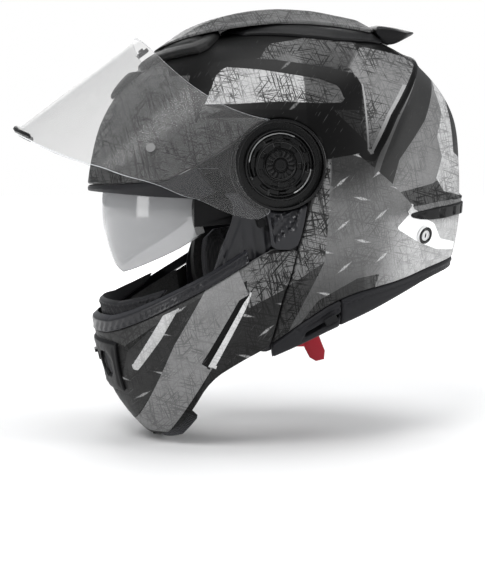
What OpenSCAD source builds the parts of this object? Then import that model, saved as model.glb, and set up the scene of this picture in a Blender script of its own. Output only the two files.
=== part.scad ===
// Modular (flip-up) motorcycle helmet.
// The frame: +Z up, the wearer faces -Y, the wearer's left is +X.
// The origin is the middle of the axis that the chin bar and the visor turn on.

/* [Hull] */
// Half of the outer width of the painted shell
half_width = 121; // [115:1:127]
// Exponent of the cross-section: 2 is an ellipse, larger is boxier
fullness = 2.2; // [2.1:0.05:2.4]
// Thickness of the painted shell
shell_wall = 4; // [3:0.5:5]
// Depth, from the outer surface, of the inner face of the foam liner
foam_depth = 34; // [30:1:38]
// Depth, from the outer surface, of the inner face of the comfort liner
comfort_depth = 44; // [42:1:47]

/* [Chin bar] */
// How far the chin bar's surface stands outside the shell's
chin_proud = 1.5; // [1:0.5:2.5]
// Thickness of the chin bar's wall
chin_wall = 3.5; // [3:0.5:4]
// Gap between the shell and the chin bar at the seam
seam_gap = 1.4; // [1:0.1:2]

/* [Visor] */
// Half of the outer width of the visor
visor_half_width = 125.5; // [125:0.5:127]
// Distance from the pivot axis to the front of the closed visor
visor_reach = 140.5; // [140:0.5:143]
// Thickness of the visor
visor_wall = 2.2; // [1.8:0.2:2.4]
// Angle that the visor stands raised by
visor_raise = 52; // [40:1:52]

/* [Sun visor] */
// Radius of the sun visor about its hinge, on the middle plane
sun_radius = 109; // [107:1:110]
// Half of the width of the sun visor's curve
sun_half_width = 91.5; // [90:0.5:92]
// Angle that the sun visor swings up by
sun_travel = 36; // [30:1:36]

/* [Pivot hub] */
// Radius of the round pivot cover
hub_radius = 26; // [24:1:27]
// Radius of the visor's ring around the pivot
ring_radius = 33; // [32:1:34]
// Radius of the latch pins
pin_radius = 4; // [3.5:0.5:5]

/* [Hidden] */
// Radius of the side outline about the pivot axis, every 15 degrees, from the back (+Y)
// over the crown (+Z) to the face (-Y) and round the chin and the open neck.
outline = [162, 161, 151.5, 137.5, 121.5, 111.5, 107, 106.5, 110.5, 117, 124, 129.5,
           134, 143, 160, 184.5, 218, 238, 236, 222, 205, 190, 176, 167];
outline_step = 360 / len(outline);
sun_axis = [-16, -34];
far = 260;
hub_seat = 33.8;
latch_at = [-34, -112];
frame_bolt_at = [-2, -66];
latch_pivot = [-55, -117];
insert_pin = [-67, -66];

// ---- the hull surface ----

// Radius of the side outline at an angle: a smooth curve through the outline's points.
function outline_at(angle) =
    let (s = ((angle % 360) + 360) % 360 / outline_step, i = floor(s), t = s - i,
         k = len(outline), p0 = outline[(i + k - 1) % k], p1 = outline[i % k],
         p2 = outline[(i + 1) % k], p3 = outline[(i + 2) % k])
    0.5 * (2 * p1 + (p2 - p0) * t + (2 * p0 - 5 * p1 + 4 * p2 - p3) * t * t
           + (3 * p1 - p0 - 3 * p2 + p3) * t * t * t);

function power(v, e) = sign(v) * pow(abs(v), e);

// A point of the hull surface, a depth below the outer surface.
function hull_point(angle, tilt, depth) =
    let (r = (outline_at(angle) - depth) * pow(sin(tilt), 2 / fullness))
    [(half_width - depth) * power(cos(tilt), 2 / fullness), r * cos(angle), r * sin(angle)];

// The closed hull body, a depth below the outer surface.
module hull_body(depth, around = 44, across = 14) {
    points = concat([hull_point(0, 0, depth)],
        [for (j = [1:across - 1]) for (i = [0:around - 1])
            hull_point(i * 360 / around, 180 * j / across, depth)],
        [hull_point(0, 180, depth)]);
    last = len(points) - 1;
    faces = concat(
        [for (i = [0:around - 1]) [0, 1 + (i + 1) % around, 1 + i]],
        [for (j = [0:across - 3]) for (i = [0:around - 1]) for (half = [0, 1])
            let (a = 1 + j * around + i, b = 1 + j * around + (i + 1) % around)
            half == 0 ? [a, b, b + around] : [a, b + around, a + around]],
        [for (i = [0:around - 1]) let (top = 1 + (across - 2) * around)
            [last, top + i, top + (i + 1) % around]]);
    polyhedron(points, faces, convexity = 6);
}

// The material between two depths.
module hull_layer(outer, inner, around = 44, across = 14) {
    difference() {
        hull_body(outer, around, across);
        hull_body(inner, around, across);
    }
}

// A side outline, drawn as [y, z] points, pushed through from x = from to x = to.
module side_prism(points, from = -far, to = far) {
    translate([from, 0, 0]) rotate([90, 0, 90]) linear_extrude(to - from) polygon(points);
}

// A front outline, drawn as [x, z] points, pushed back from y = from to y = to.
module front_prism(points, from, to) {
    translate([0, to, 0]) rotate([90, 0, 0]) linear_extrude(to - from) polygon(points);
}

// A round bar along X about the pivot axis, from x = from to x = to.
module axle(r, from, to, at = [0, 0]) {
    translate([from, at[0], at[1]]) rotate([0, 90, 0]) cylinder(r = r, h = to - from, $fn = 48);
}

module tube(outer, inner, from, to, at = [0, 0]) {
    difference() {
        axle(outer, from, to, at);
        axle(inner, from - 1, to + 1, at);
    }
}

// Makes one mesh of its children, so that smooth sculpted parts stay one clean solid.
module sculpted() { resize([0, 0, 0]) children(); }

module mirrored() { mirror([1, 0, 0]) children(); }

module both() {
    children();
    mirrored() children();
}

// ---- side outlines, as [y, z] ----

// The seam between the shell and the chin bar, from the hub down to the rim.
seam = [[21, -24], [17, -48.5], [13, -62], [8, -84], [3.5, -95], [-2, -121.5], [-5, -133]];
// The painted rim, from the seam back to the nape.
rim = [[17, -118], [48.5, -98], [96, -86.5], [124, -77], [157, -71], [far, -55]];
// The lower edge of the rubber rim trim.
rim_low = [[-3, -143], [18, -134], [44.5, -121.5], [72, -110.5], [97, -98.5], [125, -86], [157, -80],
           [far, -64]];
// The lower edge of the painted brow, from the middle plane back to the hub.
brow = [[-far, -17], [-136, -15.5], [-82, -11.5], [-78.5, -9.5], [-47, 7], [-29, 19.5], [-13, 30]];
// The top edge of the painted chin bar, from the middle plane back to the hub's neck.
chin_top = [[-far, -136], [-128, -130], [-114, -124.5], [-93, -113.5], [-71.5, -101], [-50, -89],
            [-22, -71], [-6, -62]];
// The bottom edge of the chin bar, from the seam to the middle plane.
chin_low = [[-5, -133], [-11, -137], [-27, -146], [-48, -160.5], [-60, -186], [-70, -203], [-88, -214],
            [-far, -228]];

function shifted(points, by) = [for (p = points) p + by];
function reversed(points) = [for (i = [len(points) - 1:-1:0]) points[i]];

shell_side = concat([[-far, far]], brow, [[0, 0]], shifted(seam, [seam_gap, 0]), rim, [[far, far]]);
chin_side = concat(chin_top, [[13, -62]], [for (i = [2:6]) seam[i]], chin_low);
foam_side = [[-far, far], [-far, -7], [-58, -7], [-44, -38], [30, -61], [100, -73], [150, -60],
             [far, -50], [far, far]];
cheek_side = [[-40, -66], [-8, -60], [14, -64], [14, -124], [-8, -133], [-36, -124], [-42, -95]];

// ---- the shell and what is fixed in it ----

module outer_shell() {
    color("dimgray") sculpted() difference() {
        intersection() {
            hull_layer(0, shell_wall, 60, 18);
            side_prism(shell_side);
        }
        both() axle(hub_seat, 100, 130);
    }
}

// The path that the sun visor swings through, as a thick curved slab.
module sun_visor_sweep() {
    translate([0, sun_axis[0], sun_axis[1]]) rotate([30, 0, 0]) rotate([0, 90, 0])
        rotate([0, 0, -90]) rotate_extrude(angle = -(sun_travel + 52), $fn = 40)
            sun_profile(2.2, 5);
}

// Half sections of the sun visor's curve: radius against distance from the middle plane.
function sun_curve(x, grow) =
    (sun_radius + grow) * pow(max(0, 1 - pow(abs(x) / (sun_half_width + grow), fullness)), 1 / fullness);

module sun_profile(above, below, reach = 90) {
    steps = 20;
    xs = [for (i = [0:steps]) -reach + 2 * reach * i / steps];
    polygon(concat([for (x = xs) [sun_curve(x, above), x]],
                   [for (x = reversed(xs)) [max(4, sun_curve(x, -below)), x]]));
}

module foam_liner() {
    color("#222222") sculpted() difference() {
        intersection() {
            hull_layer(shell_wall + 1, foam_depth);
            side_prism(foam_side);
        }
        sun_visor_sweep();
        both() {
            axle(53, 106, 130);
            axle(46, 85.5, 94, sun_axis);
            axle(6, 90, 130, frame_bolt_at);
        }
        intersection() {
            hull_layer(3, 10.8, 44, 14);
            side_prism([[-64, -12], [42, -12], [42, -90], [-64, -90]]);
        }
    }
}

module foam_cheeks() {
    color("#222222") sculpted() difference() {
        foam_cheek_blocks();
        both() {
            axle(pin_radius + 2.4, 90, 130, latch_at);
            axle(6, 90, 130, frame_bolt_at);
        }
    }
}

module foam_cheek_blocks() {
    intersection() {
        hull_layer(11, 21.5, 32, 12);
        side_prism([[-46, -66], [-40, -62], [14, -64], [14, -122], [-8, -136], [-40, -126], [-49, -95]]);
        both() side_prism([[-80, -200], [80, -200], [80, 0], [-80, 0]], 40, 130);
    }
}

module crown_liner() {
    color("#303034") sculpted() intersection() {
        hull_layer(foam_depth + 0.6, comfort_depth);
        side_prism([[-far, far], [-far, -4], [-56, -4], [-40, -36], [30, -57], [100, -68], [150, -55],
                    [far, -45], [far, far]]);
    }
}

module cheek_pad_left() {
    color("#303034") sculpted() intersection() {
        hull_layer(22.2, 45, 32, 12);
        side_prism(cheek_side, 20, 130);
    }
}

module cheek_pad_right() { mirrored() cheek_pad_left(); }

module neck_roll() {
    color("#2b2b2e") sculpted() intersection() {
        hull_layer(12, 36, 32, 12);
        side_prism([[46, -75], [100, -80], [150, -67], [far, -57], [far, -72], [157, -84], [125, -90],
                    [97, -103], [72, -114], [46, -124]]);
    }
}

// A length of the rubber trim, between two stations along the rim.
module trim_band(from_y, to_y) {
    intersection() {
        hull_layer(-1.2, 6, 60, 14);
        side_prism(concat([[-3.5, -133.6]], shifted(rim, [0, -0.4]), reversed(rim_low)));
        side_prism([[from_y, -far], [to_y, -far], [to_y, 0], [from_y, 0]]);
    }
}

module rim_trim_rear() { color("#30303a") sculpted() trim_band(48.4, far); }

module rim_trim_left() {
    color("#30303a") sculpted() difference() {
        intersection() {
            trim_band(-8, 48);
            side_prism([[-60, -200], [60, -200], [60, 0], [-60, 0]], 20, 130);
        }
        translate([95, 33, -118.5]) rotate([29, 0, 0]) cube([24, 30, 6.4], center = true);
    }
}

module rim_trim_right() {
    color("#30303a") sculpted() mirrored() intersection() {
        trim_band(-8, 48);
        side_prism([[-60, -200], [60, -200], [60, 0], [-60, 0]], 20, 130);
    }
}

// The rubber strip that the closed visor seals against, under the painted brow.
module brow_gasket() {
    color("#17171a") sculpted() difference() {
        intersection() {
            hull_layer(1.6, 4.8, 60, 14);
            side_prism([[-far, -17.4], [-136, -16], [-82, -12], [-78.5, -10], [-62, -1.5], [-47, -20],
                        [-58, -25], [-93, -23.5], [-136, -20.5], [-far, -22]]);
        }
        both() axle(48, 100, 130);
    }
}

module side_frame_left() {
    color("#1b1b1d") sculpted() difference() {
        union() {
            intersection() {
                hull_layer(6.4, 10, 44, 14);
                side_prism([[-46, -21], [-36, -26], [-34, -38], [-43, -62], [-53, -93], [-44, -130],
                            [-11, -145], [-1, -142], [16, -131], [24, -100], [32, -60], [34, -20]],
                           20, 130);
            }
            // upright ribs that stiffen the face of the frame
            intersection() {
                hull_layer(4.4, 8, 44, 14);
                for (i = [0:3]) side_prism([[-19 + 8 * i, -124], [-21.5 + 8 * i, -124],
                    [-24 + 8 * i, -88], [-21.5 + 8 * i, -88]], 20, 130);
            }
        }
        axle(53, 109.6, 130);
        axle(36.5, 100, 130);
        axle(pin_radius + 0.3, 80, 130, latch_at);
        axle(5.3, 80, 130, frame_bolt_at);
    }
}

module side_frame_right() { mirrored() side_frame_left(); }

module hub_base_left() {
    color("#141416") difference() {
        axle(36, 107, 110);
        axle(3, 100, 112);
        for (i = [0:5]) rotate([60 * i, 0, 0]) axle(2.2, 100, 112, [28, 0]);
    }
}

module hub_base_right() { mirrored() hub_base_left(); }

module latch_pins() {
    color("silver") both() {
        axle(pin_radius, 94, 104.9, latch_at);
        axle(pin_radius + 2, 94, 96, latch_at);
    }
}

module frame_bolts() {
    color("darkgray") both() {
        axle(5, 100, 110, frame_bolt_at);
        translate([110, frame_bolt_at[0], frame_bolt_at[1]]) rotate([0, 90, 0]) cylinder(r = 4.6, h = 1.8, $fn = 6);
    }
}

module brow_vent_cowl() {
    color("#1d1d20") sculpted() difference() {
        intersection() {
            hull_layer(-6, -0.4, 60, 18);
            side_prism([[-121, 45], [-121, 60], [-112, 78], [-92, 92], [-60, 102], [-30, 104],
                        [-36, 96], [-49, 84], [-63, 82], [-77, 79.5], [-88, 75], [-99, 67.5], [-111, 56]]);
        }
        // the air slot across the front, and the seat of the slider
        front_prism([[-34, 70], [34, 70], [30, 76], [-30, 76]], -140, -98);
        translate([0, -88, 90]) rotate([36, 0, 0]) cube([24, 20, 14], center = true);
    }
}

module brow_vent_slider() {
    color("#101012") translate([0, -92, 88]) rotate([36, 0, 0]) {
        cube([20, 9, 3], center = true);
        translate([0, 0, 2.4]) cube([16, 3, 2], center = true);
    }
}

module crown_fairing() {
    color("#5c5c60") sculpted() difference() {
        intersection() {
            hull_body(-15.2, 44, 14);
            side_prism([[-77, 88], [-77, 91], [-70, 99], [-54, 108], [-34, 116], [-18, 119.5],
                        [10, 122], [35, 121.5], [51, 118.6], [75, 115], [88, 112], [88, 104.5],
                        [67, 107.5], [34, 107.5], [-3, 101], [-23, 97], [-36, 91], [-50, 85]]);
            translate([0, 0, 60]) linear_extrude(80) polygon([[-18, -78], [-40, -44], [-46, 0],
                [-42, 50], [-38, 88], [38, 88], [42, 50], [46, 0], [40, -44], [18, -78]]);
        }
        hull_body(-6.4, 60, 18);
    }
}

module fairing_base() {
    color("#151517") sculpted() difference() {
        intersection() {
            hull_body(-6, 44, 14);
            side_prism([[-29, 92], [-3, 101], [34, 107], [67, 107], [88, 104], [97, 97],
                        [85, 92.5], [70, 86], [45, 87], [22, 89], [0, 92]]);
            translate([0, 0, 60]) linear_extrude(80) polygon([[-44, -29], [-60, 20], [-62, 60],
                [-40, 98], [40, 98], [62, 60], [60, 20], [44, -29]]);
        }
        hull_body(-0.4, 60, 18);
    }
}

module tail_spoiler() {
    color("#1a1a1c") sculpted() difference() {
        side_prism([[88.6, 111.6], [108.5, 109.7], [126, 106], [118, 100.4], [108.5, 97.8],
                    [97.6, 97.4], [88.6, 104]], -38, 38);
        for (s = [-1, 1]) translate([s * 47, 118, 100]) rotate([0, 0, s * 38])
            cube([18, 60, 60], center = true);
        hull_body(-0.4, 60, 18);
    }
}

module rear_vent_strip() {
    color("#17171a") sculpted() intersection() {
        hull_layer(-2.6, -0.4, 60, 18);
        side_prism([[100, -36], [109, -34], [130, -30.5], [far, -20], [far, -32], [150, -37.5],
                    [125, -41], [104, -40]]);
    }
}

// Turns a part that is drawn along +X to stand square on the lower rear flank.
module on_rear_flank() {
    translate([87.2, 113, -52]) rotate([0, 0, 31.5]) rotate([0, 13.5, 0]) children();
}

module rear_plugs() {
    color("#e2e2e2") both() on_rear_flank() {
        difference() {
            axle(6.6, 3.6, 5.4);
            axle(4, 4.6, 6);
        }
        axle(2.4, 4.6, 5.2);
    }
}

// ---- the retention strap ----

strap_path = [[92, -72], [87, -90], [75, -106], [56, -117], [34, -123], [8, -125]];
strap_y = 28;

// A band that follows a path of [x, z] points, across the strap's width.
module webbing(path, thick, wide) {
    n = len(path) - 1;
    up = [for (i = [0:n]) let (a = path[max(0, i - 1)], b = path[min(n, i + 1)], d = b - a)
        [-d[1], d[0]] / norm(d) * thick / 2];
    translate([0, strap_y + wide / 2, 0]) rotate([90, 0, 0]) linear_extrude(wide)
        polygon(concat([for (i = [0:n]) path[i] + up[i]],
                       [for (i = [n:-1:0]) path[i] - up[i]]));
}

module strap_anchors() {
    color("silver") both() {
        translate([90.6, strap_y - 12, -74]) cube([1.6, 24, 10.8]);
        axle(3.6, 93.6, 97, [strap_y, -69]);
        translate([93.4, strap_y - 9, -74]) cube([1.4, 18, 10.8]);
    }
}

module chin_strap_left() {
    color("#18181a") difference() {
        webbing([for (i = [0:4]) strap_path[i]], 2, 22);
        translate([90, strap_y - 14, -75]) cube([6, 28, 14]);
    }
}

module chin_strap_right() {
    color("#18181a") mirrored() difference() {
        webbing(concat(strap_path, [[0, -125.2]]), 2, 22);
        translate([90, strap_y - 14, -75]) cube([6, 28, 14]);
    }
}

module strap_buckle() {
    color("#3c3c40") translate([18, strap_y, -124.6]) difference() {
        union() {
            for (s = [-1, 1]) translate([0, s * 13, 0]) cube([32, 2, 8], center = true);
            translate([8, 0, 3]) cube([10, 24, 2], center = true);
            translate([-12, 0, 3]) cube([6, 24, 2], center = true);
        }
        translate([12, 20, -2]) rotate([90, 0, 0]) cylinder(r = 1.6, h = 40, $fn = 32);
    }
}

module buckle_hinge_pin() {
    color("silver") translate([30, strap_y + 13.4, -126.6]) rotate([90, 0, 0])
        cylinder(r = 1.5, h = 26.8, $fn = 32);
}

module buckle_lever() {
    color("#c8102a") difference() {
        union() {
            translate([9, strap_y - 10, -131.6]) cube([24, 20, 2.4]);
            for (s = [-1, 1]) translate([30, strap_y + s * 10, -126.6]) rotate([90, 0, 0])
                cylinder(r = 3, h = 3, center = true, $fn = 32);
            for (s = [-1, 1]) translate([28, strap_y + s * 10 - 1.5, -131.4]) cube([4.6, 3, 5]);
            // the pull tab that hangs from the free end
            translate([7, strap_y - 1, -147]) cube([2.2, 13, 17.6]);
        }
        translate([30, strap_y + 20, -126.6]) rotate([90, 0, 0]) cylinder(r = 1.8, h = 40, $fn = 32);
    }
}

module ratchet_tongue() {
    color("#2a2a2d") {
        translate([0.4, strap_y - 9, -125.6]) cube([25, 18, 1.6]);
        for (i = [0:6]) translate([2 + 3.4 * i, strap_y - 7, -124.1]) cube([1.7, 14, 1]);
    }
}

// ---- the sun visor ----

module sun_visor_lens() {
    color("#6a6d72", 0.6) translate([0, sun_axis[0], sun_axis[1]])
        rotate([28, 0, 0]) rotate([0, 90, 0]) rotate([0, 0, -90])
            rotate_extrude(angle = -46, $fn = 72) sun_profile(0, 1.8, 86);
}

module sun_visor_arms() {
    color("#1a1a1c") both() difference() {
        union() {
            side_prism(shifted([[-44, -12], [-44, 9], [0, 8], [5, 5], [8, 0], [5, -5], [0, -8]],
                               sun_axis), 88.4, 90.8);
            axle(8, 88.4, 90.8, sun_axis);
        }
        axle(3.3, 80, 95, sun_axis);
    }
}

module sun_visor_pins() {
    color("silver") both() {
        axle(3, 86.6, 93, sun_axis);
        axle(5, 91.4, 93, sun_axis);
    }
}

module sun_visor_lever() {
    color("#131315") translate([0, 40, -114.6]) rotate([29, 0, 0]) {
        translate([98, -4, -2]) cube([8.4, 8, 4]);
        translate([105, -5, -2.6]) cube([4.6, 10, 5.2]);
    }
}

// ---- the chin bar and what is fixed to it ----

module chin_bar_shell() {
    color("#6e6e72") sculpted() difference() {
        intersection() {
            hull_layer(-chin_proud, chin_wall - chin_proud, 60, 18);
            side_prism(chin_side);
        }
        both() axle(hub_seat + 0.4, 100, 130);
        // the mouth that the chin vent sits in
        front_prism([[-46, -138], [46, -138], [36, -166], [-36, -166]], -180, -90);
        button_notch();
    }
}

// The notch in the bottom edge that the release button sits in.
module button_notch() { translate([-13.6, -87, -240]) cube([27.2, 14, 40]); }

module chin_bar_liner() {
    color("#1c1c1e") sculpted() difference() {
        intersection() {
            hull_layer(8, 18, 44, 14);
            side_prism([[-far, -140], [-126, -136], [-92, -118], [-64, -103], [-60, -125], [-66, -180],
                        [-74, -198], [-90, -208], [-far, -222]]);
        }
        front_prism([[-40, -140], [40, -140], [30, -164], [-30, -164]], -180, -60);
        button_notch();
    }
}

module chin_bar_gasket() {
    color("#151517") sculpted() intersection() {
        hull_layer(-2.4, 5, 44, 14);
        side_prism([[-far, -135], [-128, -129.2], [-114, -123.7], [-93, -112.7], [-71.5, -100.2],
                    [-50, -88.2], [-22, -70.2], [-24, -63], [-50, -80], [-71.5, -92], [-93, -104],
                    [-114, -115], [-128, -120.5], [-far, -126]]);
    }
}

module chin_vent_housing() {
    color("#1f1f22") sculpted() difference() {
        intersection() {
            hull_layer(-4.4, -1.9, 60, 18);
            front_prism([[-56, -134], [56, -134], [44, -172], [-44, -172]], -190, -90);
        }
        // two side inlets and the window of the shutter
        both() front_prism([[20, -142], [44, -142], [38, -162], [20, -162]], -190, -90);
        front_prism([[-15.5, -140], [15.5, -140], [15.5, -163], [-15.5, -163]], -190, -90);
    }
}

module chin_vent_shutter() {
    color("#0f0f11") {
        translate([-14, -128.4, -154]) rotate([14, 0, 0]) cube([28, 2.4, 12]);
        translate([-8, -131.6, -149]) rotate([14, 0, 0]) cube([16, 3.4, 2.4]);
    }
}

module breath_guard() {
    color("#101012") sculpted() intersection() {
        hull_layer(9, 12.5, 44, 14);
        side_prism([[-far, -131], [-124, -127], [-92, -108], [-84, -98], [-104, -106], [-122, -112],
                    [-far, -116]]);
    }
}

module chin_curtain() {
    color("#121214") sculpted() difference() {
        intersection() {
            hull_layer(3, 5.2, 44, 14);
            side_prism([[-far, -230], [-92, -217], [-72, -206], [-62, -190], [-56, -196], [-66, -213],
                        [-84, -222], [-far, -240]]);
        }
        button_notch();
    }
}

module pivot_arm_left() {
    color("#202023") difference() {
        union() {
            axle(hub_seat - 0.6, 110.4, 113);
            side_prism([[-22, -28], [-16, -45], [-7, -49], [8, -49], [17, -45], [20, -30]], 110.4, 113);
            axle(13, 113, 116);
            for (at = [[-13, -42], [1, -45.5], [13, -42]]) axle(3.2, 113, 115.8, at);
        }
        axle(3, 100, 120);
    }
}

module pivot_arm_right() { mirrored() pivot_arm_left(); }

module pivot_cover_left() {
    color("#1b1b1e") sculpted() difference() {
        intersection() {
            hull_layer(-2, 1.5, 60, 18);
            side_prism([[-14, -30], [-9.5, -36], [-7, -50], [-6, -61.6], [12.8, -61.6], [17, -48.5],
                        [21, -24], [0, -20]], 60, 130);
        }
        axle(hub_seat + 0.4, 100, 130);
        for (i = [0:3]) translate([121.2, -4 + i * 1.2, -42 - 4.4 * i]) rotate([14, 0, 0])
            cube([6, 14 - 2 * i, 2.2]);
    }
}

module pivot_cover_right() { mirrored() pivot_cover_left(); }

module hub_cap_left() {
    color("#232326") difference() {
        union() {
            axle(hub_radius, 116.2, 119);
            tube(hub_radius, hub_radius - 1.6, 119, 120.6);
            tube(18.5, 16.8, 119, 121);
            axle(12, 119, 121.4);
        }
        axle(5.2, 118, 123);
        axle(3, 110, 123);
        for (i = [0:11]) rotate([30 * i, 0, 0]) axle(1, 120.4, 123, [9.4, 0]);
        for (i = [0:2]) rotate([120 * i + 30, 0, 0]) axle(2, 110, 123, [22, 0]);
    }
}

module hub_cap_right() { mirrored() hub_cap_left(); }

module hub_screws() {
    color("silver") both() {
        axle(2.8, 111, 118);
        axle(5, 118, 120.4);
    }
}

// Jaws that close around the latch pins, one on each side, hung on a pivot in the chin bar.
// Each plate leans with the wall that it runs beside.
module latch_hooks() {
    color("silver") both() difference() {
        translate([96, latch_pivot[0], latch_pivot[1]]) rotate([0, 0, -15]) rotate([0, 13, 0]) union() {
            side_prism([[-4, 4], [3, 9], [12, 16], [27, 16], [29, 13.5], [16, 12.6], [12, 8],
                        [12, 2], [16, -2.6], [24, -3.4], [22, -6.4], [10, -6], [0, -5]], 0, 1.2);
            axle(5, 0, 1.2);
        }
        axle(2, 90, 120, latch_pivot);
    }
}

module chin_release_button() {
    color("#2b2b2e") {
        translate([-13, -86, -215]) cube([26, 12, 5]);
        translate([-10, -84, -210]) cube([20, 8, 3]);
    }
}

// ---- the clear visor, drawn closed and turned up to its resting place ----

module raised() { rotate([-visor_raise, 0, 0]) children(); }

// The visor's plan: a superellipse in front of the pivot axis, straight behind it.
function visor_x(y, inset) =
    (visor_half_width - inset)
    * (y < 0 ? pow(max(0, 1 - pow(-y / (visor_reach - inset), fullness)), 1 / fullness) : 1);

function plan_curve(inset, back) =
    let (steps = 30)
    concat([[visor_half_width - inset, back]],
        [for (i = [0:steps]) let (c = 90 * i / steps)
            [(visor_half_width - inset) * pow(cos(c), 2 / fullness),
             -(visor_reach - inset) * pow(sin(c), 2 / fullness)]]);

module plan_band(outer, inner, back) {
    a = plan_curve(outer, back);
    b = plan_curve(inner, back);
    flip = function(points) [for (p = reversed(points)) [-p[0], p[1]]];
    translate([0, 0, -200]) linear_extrude(260)
        polygon(concat(a, flip(a), reversed(concat(b, flip(b)))));
}

visor_side = [[-far, -16], [-122, -17.5], [-105, -17], [-90, -15], [-77, -12], [-66, -8], [-55, -3.5],
              [-45, 2.5], [-36, 9], [-30, 15], [0, 0], [22, -28], [21, -38.5], [2, -53.5],
              [-17, -61.5], [-25, -69], [-39, -76], [-49, -82], [-66, -95], [-77, -101], [-85, -107],
              [-108, -122], [-138, -136], [-far, -138]];

module visor_lens() {
    color("#dfe6ea", 0.35) raised() difference() {
        intersection() {
            plan_band(0, visor_wall, 22);
            side_prism(visor_side);
        }
        both() axle(ring_radius, 100, 140);
    }
}

module visor_tab() {
    color("#141416") raised() intersection() {
        plan_band(-1.8, -0.3, 0);
        side_prism([[-far, -128], [-130, -126], [-112, -116], [-104, -113], [-106, -120.6],
                    [-138, -135.5], [-far, -137.5]]);
    }
}

module visor_ring_left() {
    color("#2a2a2e") raised() {
        difference() {
            union() {
                axle(ring_radius, 113.4, 115.6);
                tube(ring_radius, ring_radius - 2, 115.6, 124.6);
            }
            axle(14, 110, 130);
            // the curved slot that the click stop runs in
            rotate([0, 90, 0]) rotate([0, 0, 60]) rotate_extrude(angle = 70)
                translate([23, 110]) square([3, 10]);
        }
    }
}

module visor_ring_right() { mirrored() visor_ring_left(); }

module pinlock_pins() {
    color("#c9ced2") raised() both()
        translate([visor_x(insert_pin[0], 0), insert_pin[0], insert_pin[1]]) rotate([0, 0, -22.5]) {
            axle(3.4, 0.2, 1.2);
            axle(2.2, -5.4, -visor_wall - 0.2);
            axle(3, -5.4, -4.4);
        }
}

outer_shell();
foam_liner();
foam_cheeks();
crown_liner();
cheek_pad_left();
cheek_pad_right();
neck_roll();
rim_trim_rear();
rim_trim_left();
rim_trim_right();
brow_gasket();
side_frame_left();
side_frame_right();
hub_base_left();
hub_base_right();
latch_pins();
frame_bolts();
brow_vent_cowl();
crown_fairing();
fairing_base();
tail_spoiler();
rear_vent_strip();
rear_plugs();
strap_anchors();
chin_strap_left();
chin_strap_right();
strap_buckle();
buckle_lever();
buckle_hinge_pin();
ratchet_tongue();
brow_vent_slider();
sun_visor_lens();
sun_visor_arms();
sun_visor_pins();
sun_visor_lever();
chin_bar_shell();
chin_bar_liner();
chin_bar_gasket();
chin_vent_housing();
chin_vent_shutter();
breath_guard();
chin_curtain();
pivot_arm_left();
pivot_arm_right();
pivot_cover_left();
pivot_cover_right();
hub_cap_left();
hub_cap_right();
hub_screws();
latch_hooks();
chin_release_button();
visor_lens();
visor_tab();
visor_ring_left();
visor_ring_right();
pinlock_pins();
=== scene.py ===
"""The looks of a modular (flip-up) motorcycle helmet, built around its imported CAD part.

Lengths are millimetres until build_mesh() turns them into metres. The frame is the part's own: +Z up,
the wearer faces -Y, and the origin is the middle of the axis that the chin bar and the visor turn on.
Side outlines are lists of (y, z), front outlines of (x, z) and plan outlines of (x, y).
"""

import math

import bmesh
import bpy
import numpy as np
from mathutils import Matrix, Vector, kdtree


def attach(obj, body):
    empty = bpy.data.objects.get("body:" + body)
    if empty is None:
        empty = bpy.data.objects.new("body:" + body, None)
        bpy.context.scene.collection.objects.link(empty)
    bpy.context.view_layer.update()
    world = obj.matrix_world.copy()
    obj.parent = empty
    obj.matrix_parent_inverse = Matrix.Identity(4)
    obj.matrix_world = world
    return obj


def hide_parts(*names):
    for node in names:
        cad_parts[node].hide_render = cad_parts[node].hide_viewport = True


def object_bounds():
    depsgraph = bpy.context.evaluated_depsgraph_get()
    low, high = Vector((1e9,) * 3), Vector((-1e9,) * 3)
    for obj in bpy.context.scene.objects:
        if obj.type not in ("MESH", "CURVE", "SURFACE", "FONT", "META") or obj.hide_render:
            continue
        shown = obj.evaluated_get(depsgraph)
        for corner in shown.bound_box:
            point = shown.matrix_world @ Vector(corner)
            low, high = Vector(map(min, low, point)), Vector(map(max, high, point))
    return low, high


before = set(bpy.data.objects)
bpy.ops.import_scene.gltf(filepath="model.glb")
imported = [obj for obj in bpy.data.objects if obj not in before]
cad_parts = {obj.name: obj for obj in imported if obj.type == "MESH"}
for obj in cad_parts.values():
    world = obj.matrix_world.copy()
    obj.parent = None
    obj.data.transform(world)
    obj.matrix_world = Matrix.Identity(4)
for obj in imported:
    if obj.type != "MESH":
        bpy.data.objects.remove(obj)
cad_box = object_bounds()

MM = 0.001
FAR = 260.0  # past everything
NO_HOLE = -99  # what a hole's field is where there is none
GAMMA = 2.2  # from a display grey level to the amount of light

# ---- camera, light and floor ----

CAMERA_AT = (1.1388, -0.1600, 0.0)
CAMERA_LOOKS_AT = (0.0, -0.0121, -0.0991)


def aim(obj, target):
    obj.rotation_euler = (Vector(target) - obj.location).to_track_quat("-Z", "Y").to_euler()


def make_camera():
    data = bpy.data.cameras.new("camera")
    data.sensor_fit = "VERTICAL"
    data.sensor_height = 36
    data.lens = 88.9
    data.clip_start, data.clip_end = 0.02, 60
    camera = bpy.data.objects.new("camera", data)
    bpy.context.scene.collection.objects.link(camera)
    camera.location = CAMERA_AT
    aim(camera, CAMERA_LOOKS_AT)
    bpy.context.scene.camera = camera


def area_light(name, at, size, power, target=(0, 0, -0.03)):
    data = bpy.data.lights.new(name, "AREA")
    data.shape = "RECTANGLE"
    data.size, data.size_y = size
    data.energy = power
    light = bpy.data.objects.new(name, data)
    bpy.context.scene.collection.objects.link(light)
    light.location = at
    aim(light, target)


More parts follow.
